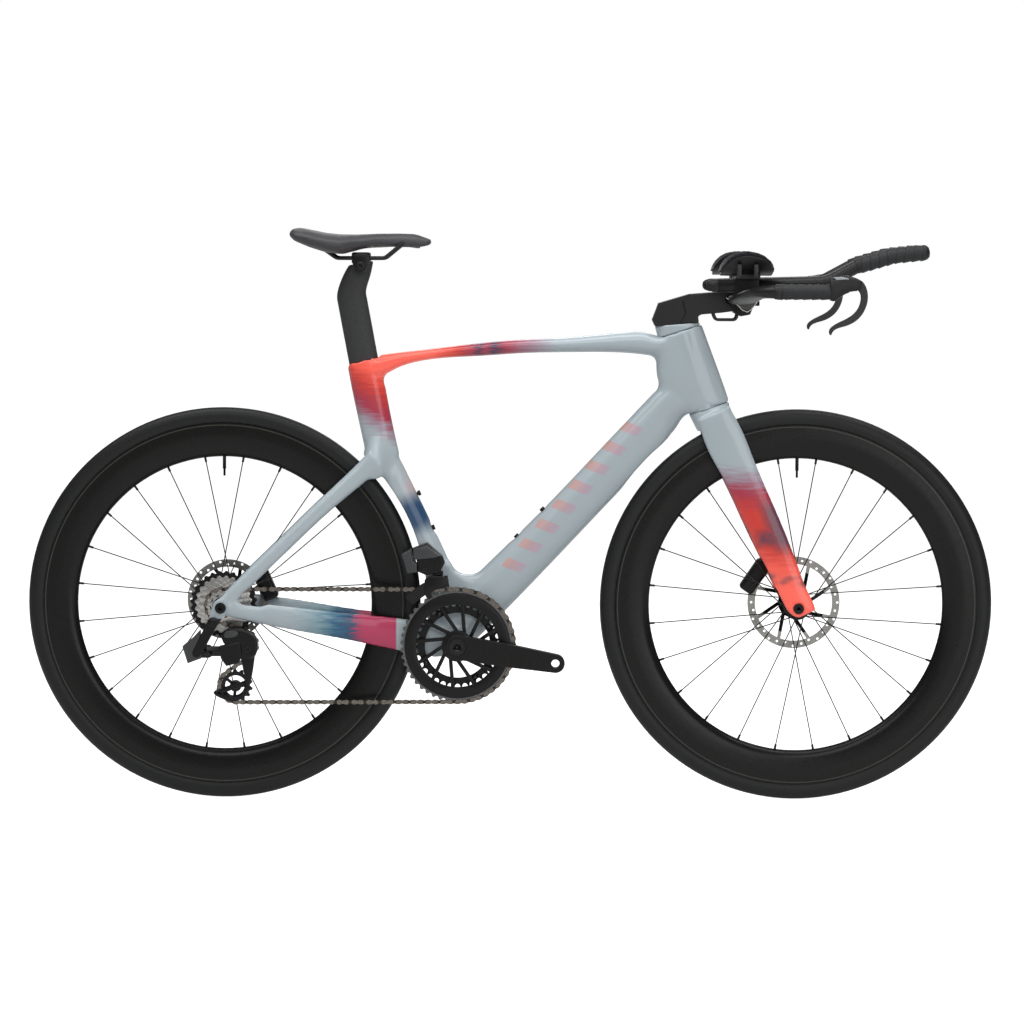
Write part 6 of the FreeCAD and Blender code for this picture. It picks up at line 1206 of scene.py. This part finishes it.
stage = {
    "floorHalf": 30.0, "floorTone": (0.55, 0.55, 0.55, 1), "floorGlow": 0.95, "floorShine": 0.35,
    "worldStrength": 0.22,
    "lampWatts": 62.0,
    "lamps": {  # place, aim, size, share of the watts, share of that for matt faces
        "topBox": ((0.0, -0.6, 3.2), (0, 0, 0.5), (5.0, 1.6), 1.3, 1.0),
        "frontBox": ((-0.6, -4.6, 3.4), (0, 0, 0.6), (4.0, 1.8), 0.95, 1.0),
        "rearBox": ((0.6, 3.2, 2.4), (0, 0, 0.6), (3.0, 1.5), 0.5, 1.0),
        "sidePanel": ((2.3, -5.0, 1.0), (0, 0, 0.5), (2.4, 3.0), 0.75, 0.0),  # only mirrored
    },
}


def addStage():
    mesh = bpy.data.meshes.new("floorPaper")
    s = stage["floorHalf"]
    mesh.from_pydata([(-s, -s, 0), (s, -s, 0), (s, s, 0), (-s, s, 0)], [], [(0, 1, 2, 3)])
    floor = bpy.data.objects.new("floorPaper", mesh)
    scene.collection.objects.link(floor)
    mat = bpy.data.materials.new("floorPaper")
    mat.use_nodes = True
    tree = mat.node_tree
    bsdf = tree.nodes["Principled BSDF"]
    bsdf.inputs["Base Color"].default_value = stage["floorTone"]
    bsdf.inputs["Roughness"].default_value = 0.9
    # white to the eye and dimmer in reflections; the shadow stays on it
    ray = add(tree, "ShaderNodeLightPath").outputs
    seen = add(tree, "ShaderNodeMath", {0: ray["Is Camera Ray"], 1: ray["Is Transmission Ray"]},
               operation="MAXIMUM")
    shine = add(tree, "ShaderNodeMath", {0: ray["Is Glossy Ray"], 1: stage["floorShine"]},
                operation="MULTIPLY")
    part = add(tree, "ShaderNodeMath", {0: seen, 1: stage["floorGlow"], 2: shine}, operation="MULTIPLY_ADD")
    glow = add(tree, "ShaderNodeEmission", {"Color": (1, 1, 1, 1), "Strength": part})
    mixed = add(tree, "ShaderNodeAddShader", {0: bsdf, 1: glow})
    tree.links.new(mixed.outputs[0], tree.nodes["Material Output"].inputs["Surface"])
    mesh.materials.append(mat)
    world = bpy.data.worlds.new("studio")
    scene.world = world
    world.use_nodes = True
    tree = world.node_tree
    ray = add(tree, "ShaderNodeLightPath").outputs
    seen = add(tree, "ShaderNodeMath", {0: ray["Is Camera Ray"], 1: ray["Is Transmission Ray"]},
               operation="MAXIMUM")
    level = add(tree, "ShaderNodeMapRange", {"Value": seen, "To Min": stage["worldStrength"], "To Max": 1.0})
    back = tree.nodes["Background"]
    back.inputs["Color"].default_value = (1, 1, 1, 1)
    tree.links.new(level.outputs[0], back.inputs["Strength"])
    for name, (at, aim, size, share, matt) in stage["lamps"].items():
        lamp = bpy.data.lights.new(name, "AREA")
        lamp.shape = "RECTANGLE"
        lamp.size, lamp.size_y = size
        lamp.energy = stage["lampWatts"] * share
        lamp.diffuse_factor = matt
        item = bpy.data.objects.new(name, lamp)
        item.location = at
        item.rotation_mode = "QUATERNION"
        item.rotation_quaternion = (Vector(aim) - Vector(at)).to_track_quat("-Z", "Y")
        scene.collection.objects.link(item)


def addCamera():
    lens = {"place": (0.00309, -5.488, 0.94126), "pan": -0.0001, "tilt": 0.0808, "roll": 0.0037, "mm": 112.36}
    cam = bpy.data.cameras.new("photoCamera")
    cam.lens = lens["mm"]
    cam.sensor_width = 36.0
    item = bpy.data.objects.new("photoCamera", cam)
    item.location = lens["place"]
    level = math.cos(lens["tilt"])
    ahead = Vector((math.sin(lens["pan"]) * level, math.cos(lens["pan"]) * level, -math.sin(lens["tilt"])))
    right = Vector((math.cos(lens["pan"]), -math.sin(lens["pan"]), 0))
    up = right.cross(ahead)
    c, s = math.cos(lens["roll"]), math.sin(lens["roll"])
    turn = item.matrix_world.to_3x3()
    turn.col[0], turn.col[1], turn.col[2] = right * c + up * s, up * c - right * s, -ahead
    item.rotation_mode = "QUATERNION"
    item.rotation_quaternion = turn.to_quaternion()
    scene.collection.objects.link(item)
    scene.camera = item


addStage()
addCamera()
print("stage lit by", len(stage["lamps"]), "lamps")
